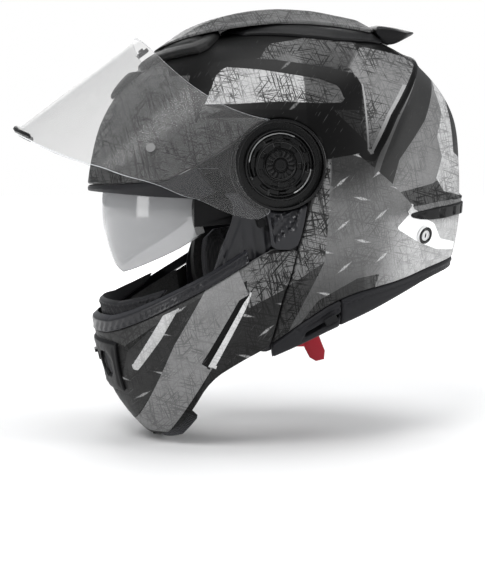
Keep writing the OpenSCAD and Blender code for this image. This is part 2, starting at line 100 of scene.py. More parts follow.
def make_studio():
    """A bright, even backdrop, and soft boxes that do most of the lighting."""
    area_light("key_light", (1.3, -0.7, 1.5), (0.8, 0.8), 21)
    area_light("top_light", (0.1, 0.2, 1.8), (1.2, 1.2), 18)
    area_light("rear_light", (0.9, 1.5, 0.5), (0.5, 1.3), 15)
    area_light("front_light", (0.4, -1.8, 0.4), (0.5, 1.3), 10)
    area_light("far_light", (-1.7, 0.1, 0.8), (1.2, 1.2), 17)
    world = bpy.data.worlds.new("studio")
    world.use_nodes = True
    tree = world.node_tree
    lighting = tree.nodes["Background"]
    lighting.inputs["Color"].default_value = (0.95, 0.97, 1.0, 1.0)
    lighting.inputs["Strength"].default_value = 0.3
    seen = tree.nodes.new("ShaderNodeBackground")
    seen.inputs["Color"].default_value = (1.0, 1.0, 1.0, 1.0)
    seen.inputs["Strength"].default_value = 1.0
    path = tree.nodes.new("ShaderNodeLightPath")
    mix = tree.nodes.new("ShaderNodeMixShader")
    tree.links.new(path.outputs["Is Camera Ray"], mix.inputs[0])
    tree.links.new(lighting.outputs[0], mix.inputs[1])
    tree.links.new(seen.outputs[0], mix.inputs[2])
    tree.links.new(mix.outputs[0], tree.nodes["World Output"].inputs["Surface"])
    bpy.context.scene.world = world
    bpy.context.scene.view_settings.view_transform = "Standard"


make_camera()
make_studio()

# ---- the hull surface, as in the CAD source ----

HALF_WIDTH = 121.0
FULLNESS = 2.2
# Radius of the side outline about the pivot axis, every 15 degrees, from +Y over +Z and round.
OUTLINE = np.array([162, 161, 151.5, 137.5, 121.5, 111.5, 107, 106.5, 110.5, 117, 124, 129.5,
                    134, 143, 160, 184.5, 218, 238, 236, 222, 205, 190, 176, 167])


def outline_at(angle):
    """Radius of the side outline at angles in degrees."""
    s = (np.asarray(angle) % 360) / 15
    i = np.floor(s).astype(int) % 24
    t = s - np.floor(s)
    p0, p1, p2, p3 = (OUTLINE[(i + k) % 24] for k in (-1, 0, 1, 2))
    return 0.5 * (2 * p1 + (p2 - p0) * t + (2 * p0 - 5 * p1 + 4 * p2 - p3) * t**2
                  + (3 * p1 - p0 - 3 * p2 + p3) * t**3)


def power(v, e):
    return np.sign(v) * np.abs(v) ** e


def hull(angle, tilt, depth):
    """Points of the hull surface, a depth below the outer surface. Angles are in degrees."""
    a, t = np.radians(angle), np.radians(tilt)
    r = (outline_at(angle) - depth) * power(np.sin(t), 2 / FULLNESS)
    x = (HALF_WIDTH - depth) * power(np.cos(t), 2 / FULLNESS)
    return np.column_stack((x, r * np.cos(a), r * np.sin(a)))


VISOR_HALF_WIDTH, VISOR_REACH, VISOR_WALL, VISOR_RAISE = 125.5, 140.5, 2.2, 52.0


def visor_sheet(turn, height, depth):
    """The closed visor: turn is the angle from the middle of the front, and past 90 degrees the
    surface runs straight back, a millimetre for each degree."""
    c = np.radians(np.minimum(np.abs(turn), 90))
    x = np.sign(turn) * (VISOR_HALF_WIDTH - depth) * np.abs(np.sin(c)) ** (2 / FULLNESS)
    y = -(VISOR_REACH - depth) * np.abs(np.cos(c)) ** (2 / FULLNESS)
    return np.column_stack((x, y + np.maximum(np.abs(turn) - 90, 0), height))


SUN_AXIS = (-16.0, -34.0)
SUN_RADIUS, SUN_HALF_WIDTH = 109.0, 91.5
SUN_TOP, SUN_FOOT = -18, 28  # the sheet's ends, in degrees of swing


def sun_sheet(swing, x, depth):
    """The sun visor: a curve turned about its hinge, which swing degrees below -Y."""
    r = (SUN_RADIUS - depth) * np.maximum(0,
                                          1 - (np.abs(x) / (SUN_HALF_WIDTH - depth)) ** FULLNESS) ** (1
                                                  / FULLNESS)
    a = np.radians(swing)
    return np.column_stack((x, SUN_AXIS[0] - r * np.cos(a), SUN_AXIS[1] - r * np.sin(a)))


# ---- outlines ----

def quarter_points(starts, ends):
    """The points a quarter and three quarters of the way along each stretch."""
    return [(share * a[0] + (1 - share) * b[0], share * a[1] + (1 - share) * b[1])
            for a, b in zip(starts, ends) for share in (0.75, 0.25)]


def smooth(points, rounds=2):
    """Rounds the corners of an open line; its two ends stay."""
    for _ in range(rounds):
        points = [points[0]] + quarter_points(points, points[1:]) + [points[-1]]
    return points


def smooth_loop(points, rounds=2):
    """Rounds the corners of a closed outline."""
    for _ in range(rounds):
        points = quarter_points(points, points[1:] + points[:1])
    return points


def shifted(points, dy, dz):
    return [(y + dy, z + dz) for y, z in points]


def distance_in(points, outline):
    """Signed distance from a closed outline: negative inside."""
    px, py = points[:, 0], points[:, 1]
    best = np.full(len(px), 1e12)
    inside = np.zeros(len(px), bool)
    for (ax, ay), (bx, by) in zip(outline, outline[1:] + outline[:1]):
        dx, dy = bx - ax, by - ay
        long = dx * dx + dy * dy
        if long < 1e-12:
            continue
        t = np.clip(((px - ax) * dx + (py - ay) * dy) / long, 0, 1)
        best = np.minimum(best, (px - ax - t * dx) ** 2 + (py - ay - t * dy) ** 2)
        if abs(dy) > 1e-12:
            crosses = (ay > py) != (by > py)
            inside ^= crosses & (px < ax + (py - ay) * dx / dy)
    return np.where(inside, -1, 1) * np.sqrt(best)


def distance_to_line(points, line):
    """Distance from an open line."""
    best = np.full(len(points), 1e12)
    for (ax, ay), (bx, by) in zip(line, line[1:]):
        dx, dy = bx - ax, by - ay
        t = np.clip(((points[:, 0] - ax) * dx + (points[:, 1] - ay) * dy) / (dx * dx + dy * dy), 0, 1)
        best = np.minimum(best, (points[:, 0] - ax - t * dx) ** 2 + (points[:, 1] - ay - t * dy) ** 2)
    return np.sqrt(best)


def side(points):
    return points[:, 1:3]


def front(points):
    return points[:, [0, 2]]


def plan(points):
    return points[:, [0, 1]]


def circle_field(points, radius, at=(0.0, 0.0)):
    """Negative outside a circle seen from the side."""
    return radius - np.hypot(points[:, 1] - at[0], points[:, 2] - at[1])


def front_window(points, outline, ahead=-60):
    """A hole with an outline seen from the front, only ahead of a place along Y."""
    return np.where(points[:, 1] < ahead, -distance_in(front(points), outline), NO_HOLE)


def button_slot(points, outline, low, high):
    """A hole with an outline seen from the front, only between two places along Y."""
    return np.where((points[:, 1] > low) & (points[:, 1] < high), -distance_in(front(points), outline),
                    NO_HOLE)


def rounding(distance, radius):
    """How far a rounded edge has dropped at a distance inside it."""
    d = np.clip(distance, 0, radius)
    return radius - np.sqrt(np.maximum(radius**2 - (radius - d) ** 2, 0))


def ridge(value, centre, width):
    """1 at the centre, falling off to both sides."""
    return np.exp(-(((value - centre) / width) ** 2))


def ease(value, low, high):
    """0 at low, 1 at high, and smooth between."""
    t = np.clip((value - low) / (high - low), 0, 1)
    return t * t * (3 - 2 * t)


# ---- skins: grids on a curved surface, cut along lines and then given thickness ----

RING = 12  # most corners that a face can have after all the cuts
SNAP = 0.08  # a corner this close to a cut counts as on it
SPARE = 4.0  # how far past its outline a skin is kept until its edge is cut


class Skin:
    def __init__(self, place, us, vs):
        self.place = place
        u, v = np.meshgrid(np.asarray(us, float), np.asarray(vs, float), indexing="ij")
        self.uv = np.column_stack((u.ravel(), v.ravel()))
        k = np.arange(u.size).reshape(u.shape)
        quads = np.stack((k[:-1, :-1], k[1:, :-1], k[1:, 1:], k[:-1, 1:]), -1).reshape(-1, 4)
        self.faces = np.hstack((quads, np.repeat(quads[:, 3:], RING - 4, 1)))
        self.fields = {}

    def points(self, depth=0.0):
        return self.place(self.uv[:, 0], self.uv[:, 1], depth)

    def field(self, name, values):
        self.fields[name] = np.array(values, float)

    def split(self, name, values, *levels):
        """Splits the faces along levels of a field."""
        self.field(name, values)
        for level in levels:
            self.cut(name, level, both=True)

    def cut(self, name, level=0.0, both=False):
        """Keeps what is below the level of a field, or with both only splits the faces there."""
        f = self.fields[name] - level
        f[np.abs(f) < SNAP] = 0
        low, high = f[self.faces].min(1), f[self.faces].max(1)
        mixed = (low < 0) & (high > 0)
        kept = self.faces[~mixed] if both else self.faces[~mixed & (low < 0)]
        sources, made, seen = [], [], {}
        for row in self.faces[mixed]:
            ring = ring_of(row)
            below, above = [], []
            for a, b in zip(ring, ring[1:] + ring[:1]):
                if f[a] <= 0:
                    below.append(a)
                if f[a] >= 0:
                    above.append(a)
                if f[a] * f[b] < 0:
                    key = (a, b) if a < b else (b, a)
                    if key not in seen:
                        seen[key] = len(self.uv) + len(sources)
                        sources.append((key, f[key[0]] / (f[key[0]] - f[key[1]])))
                    below.append(seen[key])
                    above.append(seen[key])
            made.append(below)
            if both:
                made.append(above)
        if sources:
            a, b = (np.array([s[0][k] for s in sources]) for k in (0, 1))
            t = np.array([s[1] for s in sources])
            self.uv = np.vstack((self.uv, self.uv[a] + t[:, None] * (self.uv[b] - self.uv[a])))
            for key, values in self.fields.items():
                self.fields[key] = np.append(values, values[a] + t * (values[b] - values[a]))
        rows = [r[:RING] + [r[-1]] * (RING - len(r)) for r in made if len(r) > 2]
        self.faces = np.vstack((kept, np.array(rows, int))) if rows else kept
        return self

    def edge(self, name, radius):
        """Cuts along a field's zero line, with lines beside it that let the edge be rounded."""
        for share in (1.0, 0.62, 0.32, 0.12):
            self.cut(name, -radius * share, both=True)
        return self.cut(name)

    def trim(self, edge, radius):
        """Cuts along the zero line of a distance, and gives the distance inside it."""
        self.field("edge", edge)
        self.cut("edge", SPARE).edge("edge", radius)
        return -self.fields["edge"]

    def centres(self):
        """A point well inside each face. It lies nearer to the face's last corner, which is repeated."""
        return self.points()[self.faces].mean(1)


def ring_of(row):
    ring = [int(row[0])]
    for k in row[1:]:
        if k != ring[-1]:
            ring.append(int(k))
    return ring


def build_mesh(name, points, faces, material_of=None, sharp=38):
    """An object from points in millimetres, smooth shaded with its sharp edges marked."""
    mesh = bpy.data.meshes.new(name)
    mesh.from_pydata((np.asarray(points) * MM).tolist(), [], faces)
    if material_of is not None:
        mesh.polygons.foreach_set("material_index", np.asarray(material_of, np.int32))
    work = bmesh.new()
    work.from_mesh(mesh)
    bmesh.ops.remove_doubles(work, verts=work.verts, dist=2e-6)
    bmesh.ops.recalc_face_normals(work, faces=work.faces)
    work.to_mesh(mesh)
    work.free()
    mesh.shade_smooth()
    mesh.set_sharp_from_angle(angle=math.radians(sharp))
    obj = bpy.data.objects.new(name, mesh)
    bpy.context.scene.collection.objects.link(obj)
    return obj


def coordinates(mesh):
    flat = np.zeros(len(mesh.vertices) * 3)
    mesh.vertices.foreach_get("co", flat)
    return flat.reshape(-1, 3)


def turned(points, degrees):
    """Turns points about the X axis, as a raised visor turns."""
    a = math.radians(degrees)
    y = points[:, 1] * math.cos(a) - points[:, 2] * math.sin(a)
    z = points[:, 1] * math.sin(a) + points[:, 2] * math.cos(a)
    return np.column_stack((points[:, 0], y, z))


def solid(skin, name, outer, inner, turn=0.0, sharp=38):
    """A closed piece between two depths, given at every point of the skin. Its outer faces come
    first and take material 0, its inner faces 1 and its edge faces 2."""
    used = np.unique(skin.faces)
    place = np.zeros(len(skin.uv), int)
    place[used] = np.arange(len(used))
    u, v = skin.uv[used].T
    outer, inner = (np.broadcast_to(np.asarray(d, float), len(skin.uv))[used] for d in (outer, inner))
    top, bottom = skin.place(u, v, outer), skin.place(u, v, inner)
    n = len(used)
    rings = [[int(place[k]) for k in ring_of(row)] for row in skin.faces]
    once = {}
    for ring in rings:
        for a, b in zip(ring, ring[1:] + ring[:1]):
            if (b, a) in once:
                del once[(b, a)]
            else:
                once[(a, b)] = True
    faces = rings + [[k + n for k in reversed(ring)] for ring in rings]
    faces += [[b, a, a + n, b + n] for a, b in once]
    points = np.vstack((top, bottom))
    if turn:
        points = turned(points, turn)
    groups = [0] * len(rings) + [1] * len(rings) + [2] * len(once)
    return build_mesh(name, points, faces, groups, sharp)


def hull_grid(low_angle, high_angle, low_tilt=10, high_tilt=170, step=0.9):
    return Skin(hull, np.arange(low_angle, high_angle + step, step),
                np.arange(low_tilt, high_tilt + step, step))


# ---- materials ----

class Finish:
    """A node-based material. Constants go straight on the shader's sockets."""

    def __init__(self, name, **constants):
        self.material = bpy.data.materials.new(name)
        self.material.use_nodes = True
        self.tree = self.material.node_tree
        self.shader = self.tree.nodes["Principled BSDF"]
        for key, value in constants.items():
            self.shader.inputs[key.replace("_", " ")].default_value = value
        self.place = self.node("ShaderNodeTexCoord").outputs["Object"]

    def node(self, kind, **properties):
        made = self.tree.nodes.new(kind)
        for key, value in properties.items():
            setattr(made, key, value)
        return made

    def link(self, source, target):
        self.tree.links.new(source, target)
        return target

    def feed(self, socket, value):
        if isinstance(value, bpy.types.NodeSocket):
            self.link(value, socket)
        else:
            socket.default_value = value

    def math(self, operation, a, b=0.0, clamp=False):
        made = self.node("ShaderNodeMath", operation=operation, use_clamp=clamp)
        for socket, value in zip(made.inputs, (a, b)):
            self.feed(socket, value)
        return made.outputs[0]

    def plus(self, a, b, **options):
        return self.math("ADD", a, b, **options)

    def less(self, a, b, **options):
        return self.math("SUBTRACT", a, b, **options)

    def times(self, a, b):
        return self.math("MULTIPLY", a, b)

    def step(self, value, low, high):
        """0 at low, 1 at high, smooth between."""
        made = self.node("ShaderNodeMapRange", interpolation_type="SMOOTHSTEP")
        for socket, given in zip(made.inputs, (value, low, high, 0.0, 1.0)):
            self.feed(socket, given)
        return made.outputs[0]

    def scaled(self, scale, turn=(0, 0, 0), shift=(0, 0, 0)):
        """Object coordinates, turned about the axes first and then stretched and shifted."""
        vector = self.place
        for key, value in (("Rotation", [math.radians(a) for a in turn]), ("Scale", scale),
                           ("Location", shift)):
            made = self.node("ShaderNodeMapping")
            self.link(vector, made.inputs["Vector"])
            made.inputs[key].default_value = value
            vector = made.outputs[0]
        return vector

    def noise(self, vector, scale=1.0, detail=3.0, rough=0.55, distortion=0.0):
        made = self.node("ShaderNodeTexNoise")
        self.link(vector, made.inputs["Vector"])
        for key, value in (("Scale", scale), ("Detail", detail), ("Roughness", rough),
                           ("Distortion", distortion)):
            made.inputs[key].default_value = value
        return made.outputs["Fac"]

    def cells(self, vector, scale=1.0, feature="F1"):
        made = self.node("ShaderNodeTexVoronoi", feature=feature)
        self.link(vector, made.inputs["Vector"])
        made.inputs["Scale"].default_value = scale
        return made.outputs["Distance"]

    def bands(self, turn, scale, **inputs):
        """Stripes across an axis that is turned by so many degrees."""
        made = self.node("ShaderNodeTexWave", wave_type="BANDS")
        self.link(self.scaled((1, 1, 1), turn), made.inputs["Vector"])
        made.inputs["Scale"].default_value = scale
        for key, value in inputs.items():
            made.inputs[key].default_value = value
        return made.outputs["Fac"]

    def mix(self, factor, a, b):
        made = self.node("ShaderNodeMix", data_type="RGBA")
        self.feed(made.inputs[0], factor)
        for socket, value in ((made.inputs[6], a), (made.inputs[7], b)):
            self.feed(socket, value)
        return made.outputs[2]

    def grey(self, value):
        made = self.node("ShaderNodeCombineColor")
        for socket in made.inputs:
            self.link(value, socket)
        return made.outputs[0]

    def colour(self, value):
        self.link(value, self.shader.inputs["Base Color"])

    def rough(self, value):
        self.link(value, self.shader.inputs["Roughness"])

    def bump(self, height, strength, distance):
        made = self.node("ShaderNodeBump")
        self.link(height, made.inputs["Height"])
        made.inputs["Strength"].default_value = strength
        made.inputs["Distance"].default_value = distance
        self.link(made.outputs[0], self.shader.inputs["Normal"])

    def worn_edges(self):
        """1 along convex edges and 0 elsewhere."""
        made = self.node("ShaderNodeNewGeometry")
        return self.step(made.outputs["Pointiness"], 0.52, 0.58)


def tinted(level, tint=(1.0, 1.0, 1.0)):
    """A colour from a display grey level, from 0 to 1, and a tint."""
    return tuple(level**GAMMA * t for t in tint) + (1.0,)


def plastic(name, level, tint=(1, 1, 1), rough=0.45, grain=1.0, coat=0.0, speckle=0.12, shine=0.16):
    """Moulded plastic: fine pebble grain, slight mottling and rubbed edges."""
    made = Finish(name, Coat_Weight=coat, Coat_Roughness=0.12, Specular_IOR_Level=shine)
    grains = made.cells(made.place, 1400)
    clouds = made.noise(made.place, 55, 4)
    scuffs = made.noise(made.scaled((60, 400, 60), (20, 30, 0)), 1, 5, 0.7)
    dark, light = tinted(level * (1 - speckle), tint), tinted(level * (1 + speckle), tint)
    base = made.mix(clouds, dark, light)
    made.colour(made.mix(made.times(made.worn_edges(), 0.35), base, tinted(min(1, level * 1.9), tint)))
    made.rough(made.plus(rough - 0.08, made.times(scuffs, 0.16)))
    height = made.plus(made.times(grains, 0.6), made.times(scuffs, 0.4))
    made.bump(height, 0.35 * grain, 0.00015)
    return made.material


def painted_shell(name):
    """Satin paint printed with a worn-metal picture: each face's grey, how scratched it is and how much tread
    plate shows come from the mesh's "paint" attribute. The grey also carries a painted highlight along the
    crest."""
    made = Finish(name, Specular_IOR_Level=0.13)
    paint = made.node("ShaderNodeAttribute", attribute_name="paint")
    parts = made.node("ShaderNodeSeparateColor")
    made.link(paint.outputs["Color"], parts.inputs[0])
    tone, scratched, plated = parts.outputs
    # brushed mottling under everything
    fine = made.noise(made.place, 900, 3, 0.6)
    broad = made.noise(made.place, 38, 4, 0.6)
    mottle = made.plus(0.5, made.plus(made.times(fine, 0.5), made.times(broad, 0.5)))
    base = made.times(tone, mottle)
    # five sets of long thin scratches, thick in patches
    patches = made.step(made.noise(made.place, 30, 4, 0.65), 0.38, 0.54)
    marks = None
    for turn, low, length in ((14, 0.585, 30), (80, 0.57, 26), (-50, 0.6, 45), (66, 0.59, 60), (-8, 0.6, 50)):
        lines = made.noise(made.scaled((20, length, 1050), (turn, 0, 0), (turn, 0, 0)), 1, 1, 0.5)
        lines = made.step(lines, low, low + 0.05)
        marks = lines if marks is None else made.math("MAXIMUM", marks, lines)
    spread = made.plus(0.3, made.times(patches, 0.7))
    marks = made.times(made.times(marks, spread), scratched)
    base = made.times(base, made.less(1.0, made.times(marks, 0.9), clamp=True))
    # tread plate: rows of slim bright lozenges, each row turned the other way
    pitch, row_height, lozenge_size = 0.031, 0.0155, 0.0085
    split = made.node("ShaderNodeSeparateXYZ")
    made.link(made.scaled((1, 1 / pitch, 1 / row_height), (-14, 0, 0)), split.inputs[0])
    row = made.math("FLOOR", split.outputs[2])
    slant = made.less(made.times(made.math("MODULO", made.math("ABSOLUTE", row), 2.0), 0.9), 0.45)
    along = made.plus(split.outputs[1], made.times(row, 0.41))
    along = made.times(made.less(made.math("FRACT", along), 0.5), pitch / lozenge_size)
    across = made.times(made.less(made.math("FRACT", split.outputs[2]), 0.5), row_height / lozenge_size)
    tipped = made.plus(across, made.times(along, slant))
    shape = made.plus(made.math("ABSOLUTE", along), made.times(made.math("ABSOLUTE", tipped), 5.0))
    lozenge = made.less(1.0, made.step(shape, 0.35, 1.0))
    lozenge = made.times(made.times(lozenge, plated), made.step(fine, 0.3, 0.55))
    base = made.plus(base, made.times(lozenge, 0.3))
    # light scuffs
    scuffs = made.step(made.noise(made.scaled((70, 900, 70), (35, 0, 0)), 1, 2), 0.66, 0.7)
    base = made.plus(base, made.times(made.times(scuffs, patches), 0.035), clamp=True)
    made.colour(made.grey(base))
    made.rough(made.plus(0.36, made.times(made.plus(marks, fine), 0.14)))
    height = made.less(made.times(fine, 0.2), made.times(marks, 0.6))
    made.bump(made.plus(height, lozenge), 0.25, 0.0002)
    return made.material


def rubber(name, level=0.12):
    made = Finish(name, Specular_IOR_Level=0.2, Sheen_Weight=0.08, Sheen_Roughness=0.4)
    dust = made.noise(made.place, 160, 5, 0.65)
    made.colour(made.mix(dust, tinted(level * 0.85, (0.94, 0.94, 1.1)),
                         tinted(level * 1.2, (0.94, 0.94, 1.12))))
    made.rough(made.plus(0.44, made.times(dust, 0.2)))
    made.bump(made.cells(made.place, 1900), 0.22, 0.0001)
    return made.material


def bead_foam(name):
    made = Finish(name, Roughness=0.85)
    beads = made.cells(made.place, 330)
    seams = made.cells(made.place, 330, "DISTANCE_TO_EDGE")
    made.colour(made.mix(made.step(seams, 0.0, 0.06), tinted(0.06), tinted(0.15)))
    made.bump(made.less(1.0, beads), 0.6, 0.0006)
    return made.material


def knit(name, level=0.16, tint=(1, 1, 1.04)):
    """Brushed knit lining: tiny loops in rows, soft sheen and lint."""
    made = Finish(name, Sheen_Weight=0.55, Sheen_Roughness=0.45, Specular_IOR_Level=0.2)
    made.shader.inputs["Sheen Tint"].default_value = (0.6, 0.6, 0.65, 1)
    waves = [made.bands(turn, 210, Distortion=1.2, Detail=1.0)
             for turn in ((0, 0, 45), (0, 0, -45), (45, 0, 0))]
    loops = made.times(made.math("MAXIMUM", waves[0], waves[1]), made.plus(0.4, waves[2]))
    lint = made.noise(made.place, 240, 5, 0.7)
    shade = made.plus(made.times(loops, 0.6), made.times(lint, 0.5), clamp=True)
    made.colour(made.mix(shade, tinted(level * 0.6, tint), tinted(level * 1.35, tint)))
    made.rough(made.plus(0.72, made.times(lint, 0.2)))
    made.bump(shade, 0.8, 0.0004)
    return made.material


def webbing_weave(name):
    made = Finish(name, Sheen_Weight=0.3, Sheen_Roughness=0.4)
    along, across = made.bands((0, 0, 90), 330), made.bands((0, 45, 0), 190)
    weave = made.times(along, made.plus(0.4, across))
    fuzz = made.noise(made.place, 500, 4)
    made.colour(made.mix(made.times(weave, fuzz), tinted(0.06), tinted(0.26)))
    made.rough(made.plus(0.6, made.times(fuzz, 0.25)))
    made.bump(weave, 0.8, 0.0004)
    return made.material


def brushed_metal(name, level=0.62, rough=0.3, metallic=1.0):
    made = Finish(name, Metallic=metallic)
    lines = made.noise(made.scaled((60, 60, 2600), (30, 20, 0)), 1, 3)
    smudge = made.noise(made.place, 90, 4)
    made.colour(made.mix(lines, tinted(level * 0.85), tinted(level * 1.08)))
    made.rough(made.plus(rough - 0.1, made.times(made.plus(lines, smudge), 0.2)))
    made.bump(lines, 0.15, 0.0001)
    return made.material


def clear_sheet(name, tint, density, rough=0.03, slanted=0.5):
    """Clear or smoked polycarbonate that lets the lamps through: a film over a transparent mix,
    denser where it is seen at a slant, with faint smears in its gloss."""
    made = Finish(name, Roughness=rough, Specular_IOR_Level=0.9)
    made.shader.inputs["Base Color"].default_value = tint
    smears = made.noise(made.scaled((30, 12, 60)), 1, 4)
    made.rough(made.plus(rough, made.times(smears, 0.05)))
    made.bump(made.noise(made.place, 30, 2), 0.02, 0.0005)
    through = made.node("ShaderNodeBsdfTransparent")
    through.inputs["Color"].default_value = (0.98, 0.98, 0.98, 1)
    slant = made.node("ShaderNodeLayerWeight")
    slant.inputs["Blend"].default_value = 0.32
    film = made.plus(density, made.times(slant.outputs["Facing"], slanted), clamp=True)
    blend = made.node("ShaderNodeMixShader")
    made.link(film, blend.inputs[0])
    made.link(through.outputs[0], blend.inputs[1])
    made.link(made.shader.outputs[0], blend.inputs[2])
    made.link(blend.outputs[0], made.tree.nodes["Material Output"].inputs["Surface"])
    return made.material


PAINT = painted_shell("painted_shell")
INNER_WALL = plastic("inner_wall", 0.13, rough=0.6)
BLACK = plastic("black_plastic", 0.09, (0.98, 0.98, 1.06), rough=0.42)
GLOSS_BLACK = plastic("gloss_black", 0.055, (0.98, 0.98, 1.05), rough=0.26, grain=0.3, coat=0.3, shine=0.2)
SLATE = plastic("slate_plastic", 0.14, (0.96, 0.97, 1.14), rough=0.34, coat=0.15, shine=0.25)
MATT = plastic("fairing_grey", 0.1, rough=0.55, grain=0.6)
RUBBER = rubber("rubber_trim")
FOAM = bead_foam("foam")
KNIT = knit("liner_fabric")
MESH_CLOTH = knit("curtain_fabric", 0.12)
WEBBING = webbing_weave("webbing")
STEEL = brushed_metal("steel")
DARK_STEEL = brushed_metal("dark_steel", 0.42, 0.38)
GUNMETAL = brushed_metal("gunmetal", 0.3, 0.42)
RED = plastic("red_plastic", 0.62, (1.0, 0.055, 0.09), rough=0.35, grain=0.4, speckle=0.06)
WHITE = plastic("white_plastic", 0.86, rough=0.4, grain=0.4, speckle=0.03)
CLEAR = clear_sheet("clear_visor", (0.42, 0.42, 0.42, 1), 0.05, 0.12, slanted=0.22)
# the clear visor's edge faces: a pale film that is a painted highlight along its cut edges
CLEAR_EDGE_HIGHLIGHT = clear_sheet("clear_edge_highlight", (0.8, 0.83, 0.86, 1), 0.55)
SMOKE = clear_sheet("tinted_visor", (0.36, 0.363, 0.37, 1), 0.62, 0.04, slanted=0.35)
SMOKE_EDGE = clear_sheet("smoked_edge", (0.03, 0.03, 0.03, 1), 0.9)
THREAD = plastic("thread", 0.34, rough=0.7)


def dress(obj, body, slot, *materials, replaces=()):
    for material in materials:
        obj.data.materials.append(material)
    index = np.zeros(len(obj.data.polygons), np.int32)
    obj.data.polygons.foreach_get("material_index", index)
    obj.data.polygons.foreach_set("material_index", np.minimum(index, len(materials) - 1))
    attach(obj, body)
    if replaces:
        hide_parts(*replaces)
    return obj


# ---- paint: the worn-metal picture on the shell and the chin bar ----

# Each area is a side outline, its grey level from 0 to 1, how scratched it is and how much tread
# plate it shows. Later areas lie over earlier ones.
CREST = smooth([(118, 82), (101, 54), (86, 30), (77, 8), (73, -6)])
V_PATCH = [(57, 73), (64, 59), (65, 33), (66, 11), (69, 7), (85, 37), (113, 77), (109, 84), (70, 90)]
V_LINE, V_SHADE, CREST_HIGHLIGHT_WIDTH = 2.0, 4.5, 2.2  # widths of the lines beside the patch, and of the painted highlight along the crest
LIGHT_WEDGE = [(37, 4), (30, -12), (18, -46), (9, -62), (-22, -66), (-52, -86), (-50, -92), (-24, -84),
               (-22, -104), (8, -88), (34, -71), (36, -40)]
UPPER_PATCH = [(-9, 79), (-7, 83), (0, 91), (28, 96), (72, 92), (70, 74), (60, 65), (57, 70), (53, 69),
               (34, 73)]
LOWER_PATCH = [(-55, 44), (-43, 66), (-39, 70), (-35, 72), (-12, 70), (32, 63), (44, 58.5), (47, 55),
               (49, 48),
               (47, 45.5), (30, 45), (1, 46), (-35, 44)]
UNDER_CROWN = [(-76, 66), (-52, 66), (-44, 76), (-10, 79), (-4, 88), (28, 97), (74, 93), (108, 84), (96, 104),
               (40, 124),
               (-60, 124), (-80, 90)]
REAR_SHARD = [(137, 76), (131, 58), (134, 40), (127, 22), (132, 6), (126, -10), (134, -20), (170, -26),
              (170, 76)]
SHELL_AREAS = [
    # the dark field behind and over the pivot
    ([(-56, 34), (-30, 44), (40, 40), (66, 16), (80, 2), (58, 4), (36, 0), (30, 20), (-13, 34)], 0.06, 0.1,
     0.0),
    # the treaded frame round the light patches
    ([(-8, 78), (-54, 84), (-58, 44), (-40, 40), (62, 40), (66, 76)], 0.09, 0.2, 0.4),
    (UNDER_CROWN, 0.06, 0.1, 0.0),
    (UPPER_PATCH, 0.37, 1.0, 0.0),
    (LOWER_PATCH, 0.66, 1.0, 0.0),
    ([(-64, 60), (-54, 84), (-46, 60), (-60, 30)], 0.05, 0.0, 0.0),
    # behind the crest: a plain dark band, a grey one, and the light shards at the nape
    ([(118, 90), (101, 54), (86, 30), (66, -8), (84, -22), (128, 34), (150, 90)], 0.2, 0.0, 0.0),
    ([(84, -22), (92, 4), (116, 34), (134, 70), (170, 60), (170, 10), (122, -14)], 0.46, 0.35, 0.0),
    (REAR_SHARD, 0.7, 0.6, 0.4),
    ([(150, 70), (143, 44), (146, 10), (170, 0), (170, 70)], 0.22, 0.3, 0.0),
    # the treaded lower flank and the plain light rear of it
    ([(34, 4), (58, 8), (84, -12), (104, -30), (96, -44), (104, -76), (60, -84), (30, -100), (0, -140),
      (34, -71), (36, -40)], 0.41, 0.28, 1.0),
    ([(62, -44), (100, -32), (128, -28), (170, -24), (170, -80), (100, -90), (74, -92), (84, -60)], 0.42, 0.4,
     0.25),
    ([(90, -47), (100, -35), (104, -30), (108, -37), (124, -44), (131, -56), (150, -60), (150, -66),
      (128, -64),
      (110, -58)], 0.76, 0.2, 0.0),
    (LIGHT_WEDGE, 0.46, 1.0, 0.0),
    (V_PATCH, 0.46, 0.9, 0.0),
]
CHIN_AREAS = [
    ([(-140, -128), (-114, -120), (-50, -86), (-50, -98), (-84, -114), (-110, -136)], 0.26, 0.5, 0.0),
    ([(-50, -92), (-84, -113), (-108, -140), (-114, -180), (-104, -206), (-88, -168), (-74, -132),
      (-50, -100)], 0.2,
     0.4, 1.0),
    ([(8, -86), (-22, -102), (-46, -146), (-62, -190), (-30, -170), (6, -136)], 0.17, 0.5, 1.0),
    (LIGHT_WEDGE, 0.42, 1.0, 0.0),
    ([(-52, -88), (-30, -76), (-21, -97), (-45, -146), (-76, -206), (-104, -210), (-88, -168), (-75, -133)],
     0.5, 0.45, 0.0),
    ([(-20, -92), (-25, -102), (-50, -149), (-55, -147), (-29, -98)], 0.05, 0.0, 0.0),
    ([(-20, -91), (-24, -104), (-45, -149), (-50, -148), (-26, -100)], 0.78, 0.35, 0.0),
    ([(-72, -104), (-83, -110), (-105, -152), (-100, -154), (-84, -128)], 0.72, 0.3, 0.0),
]


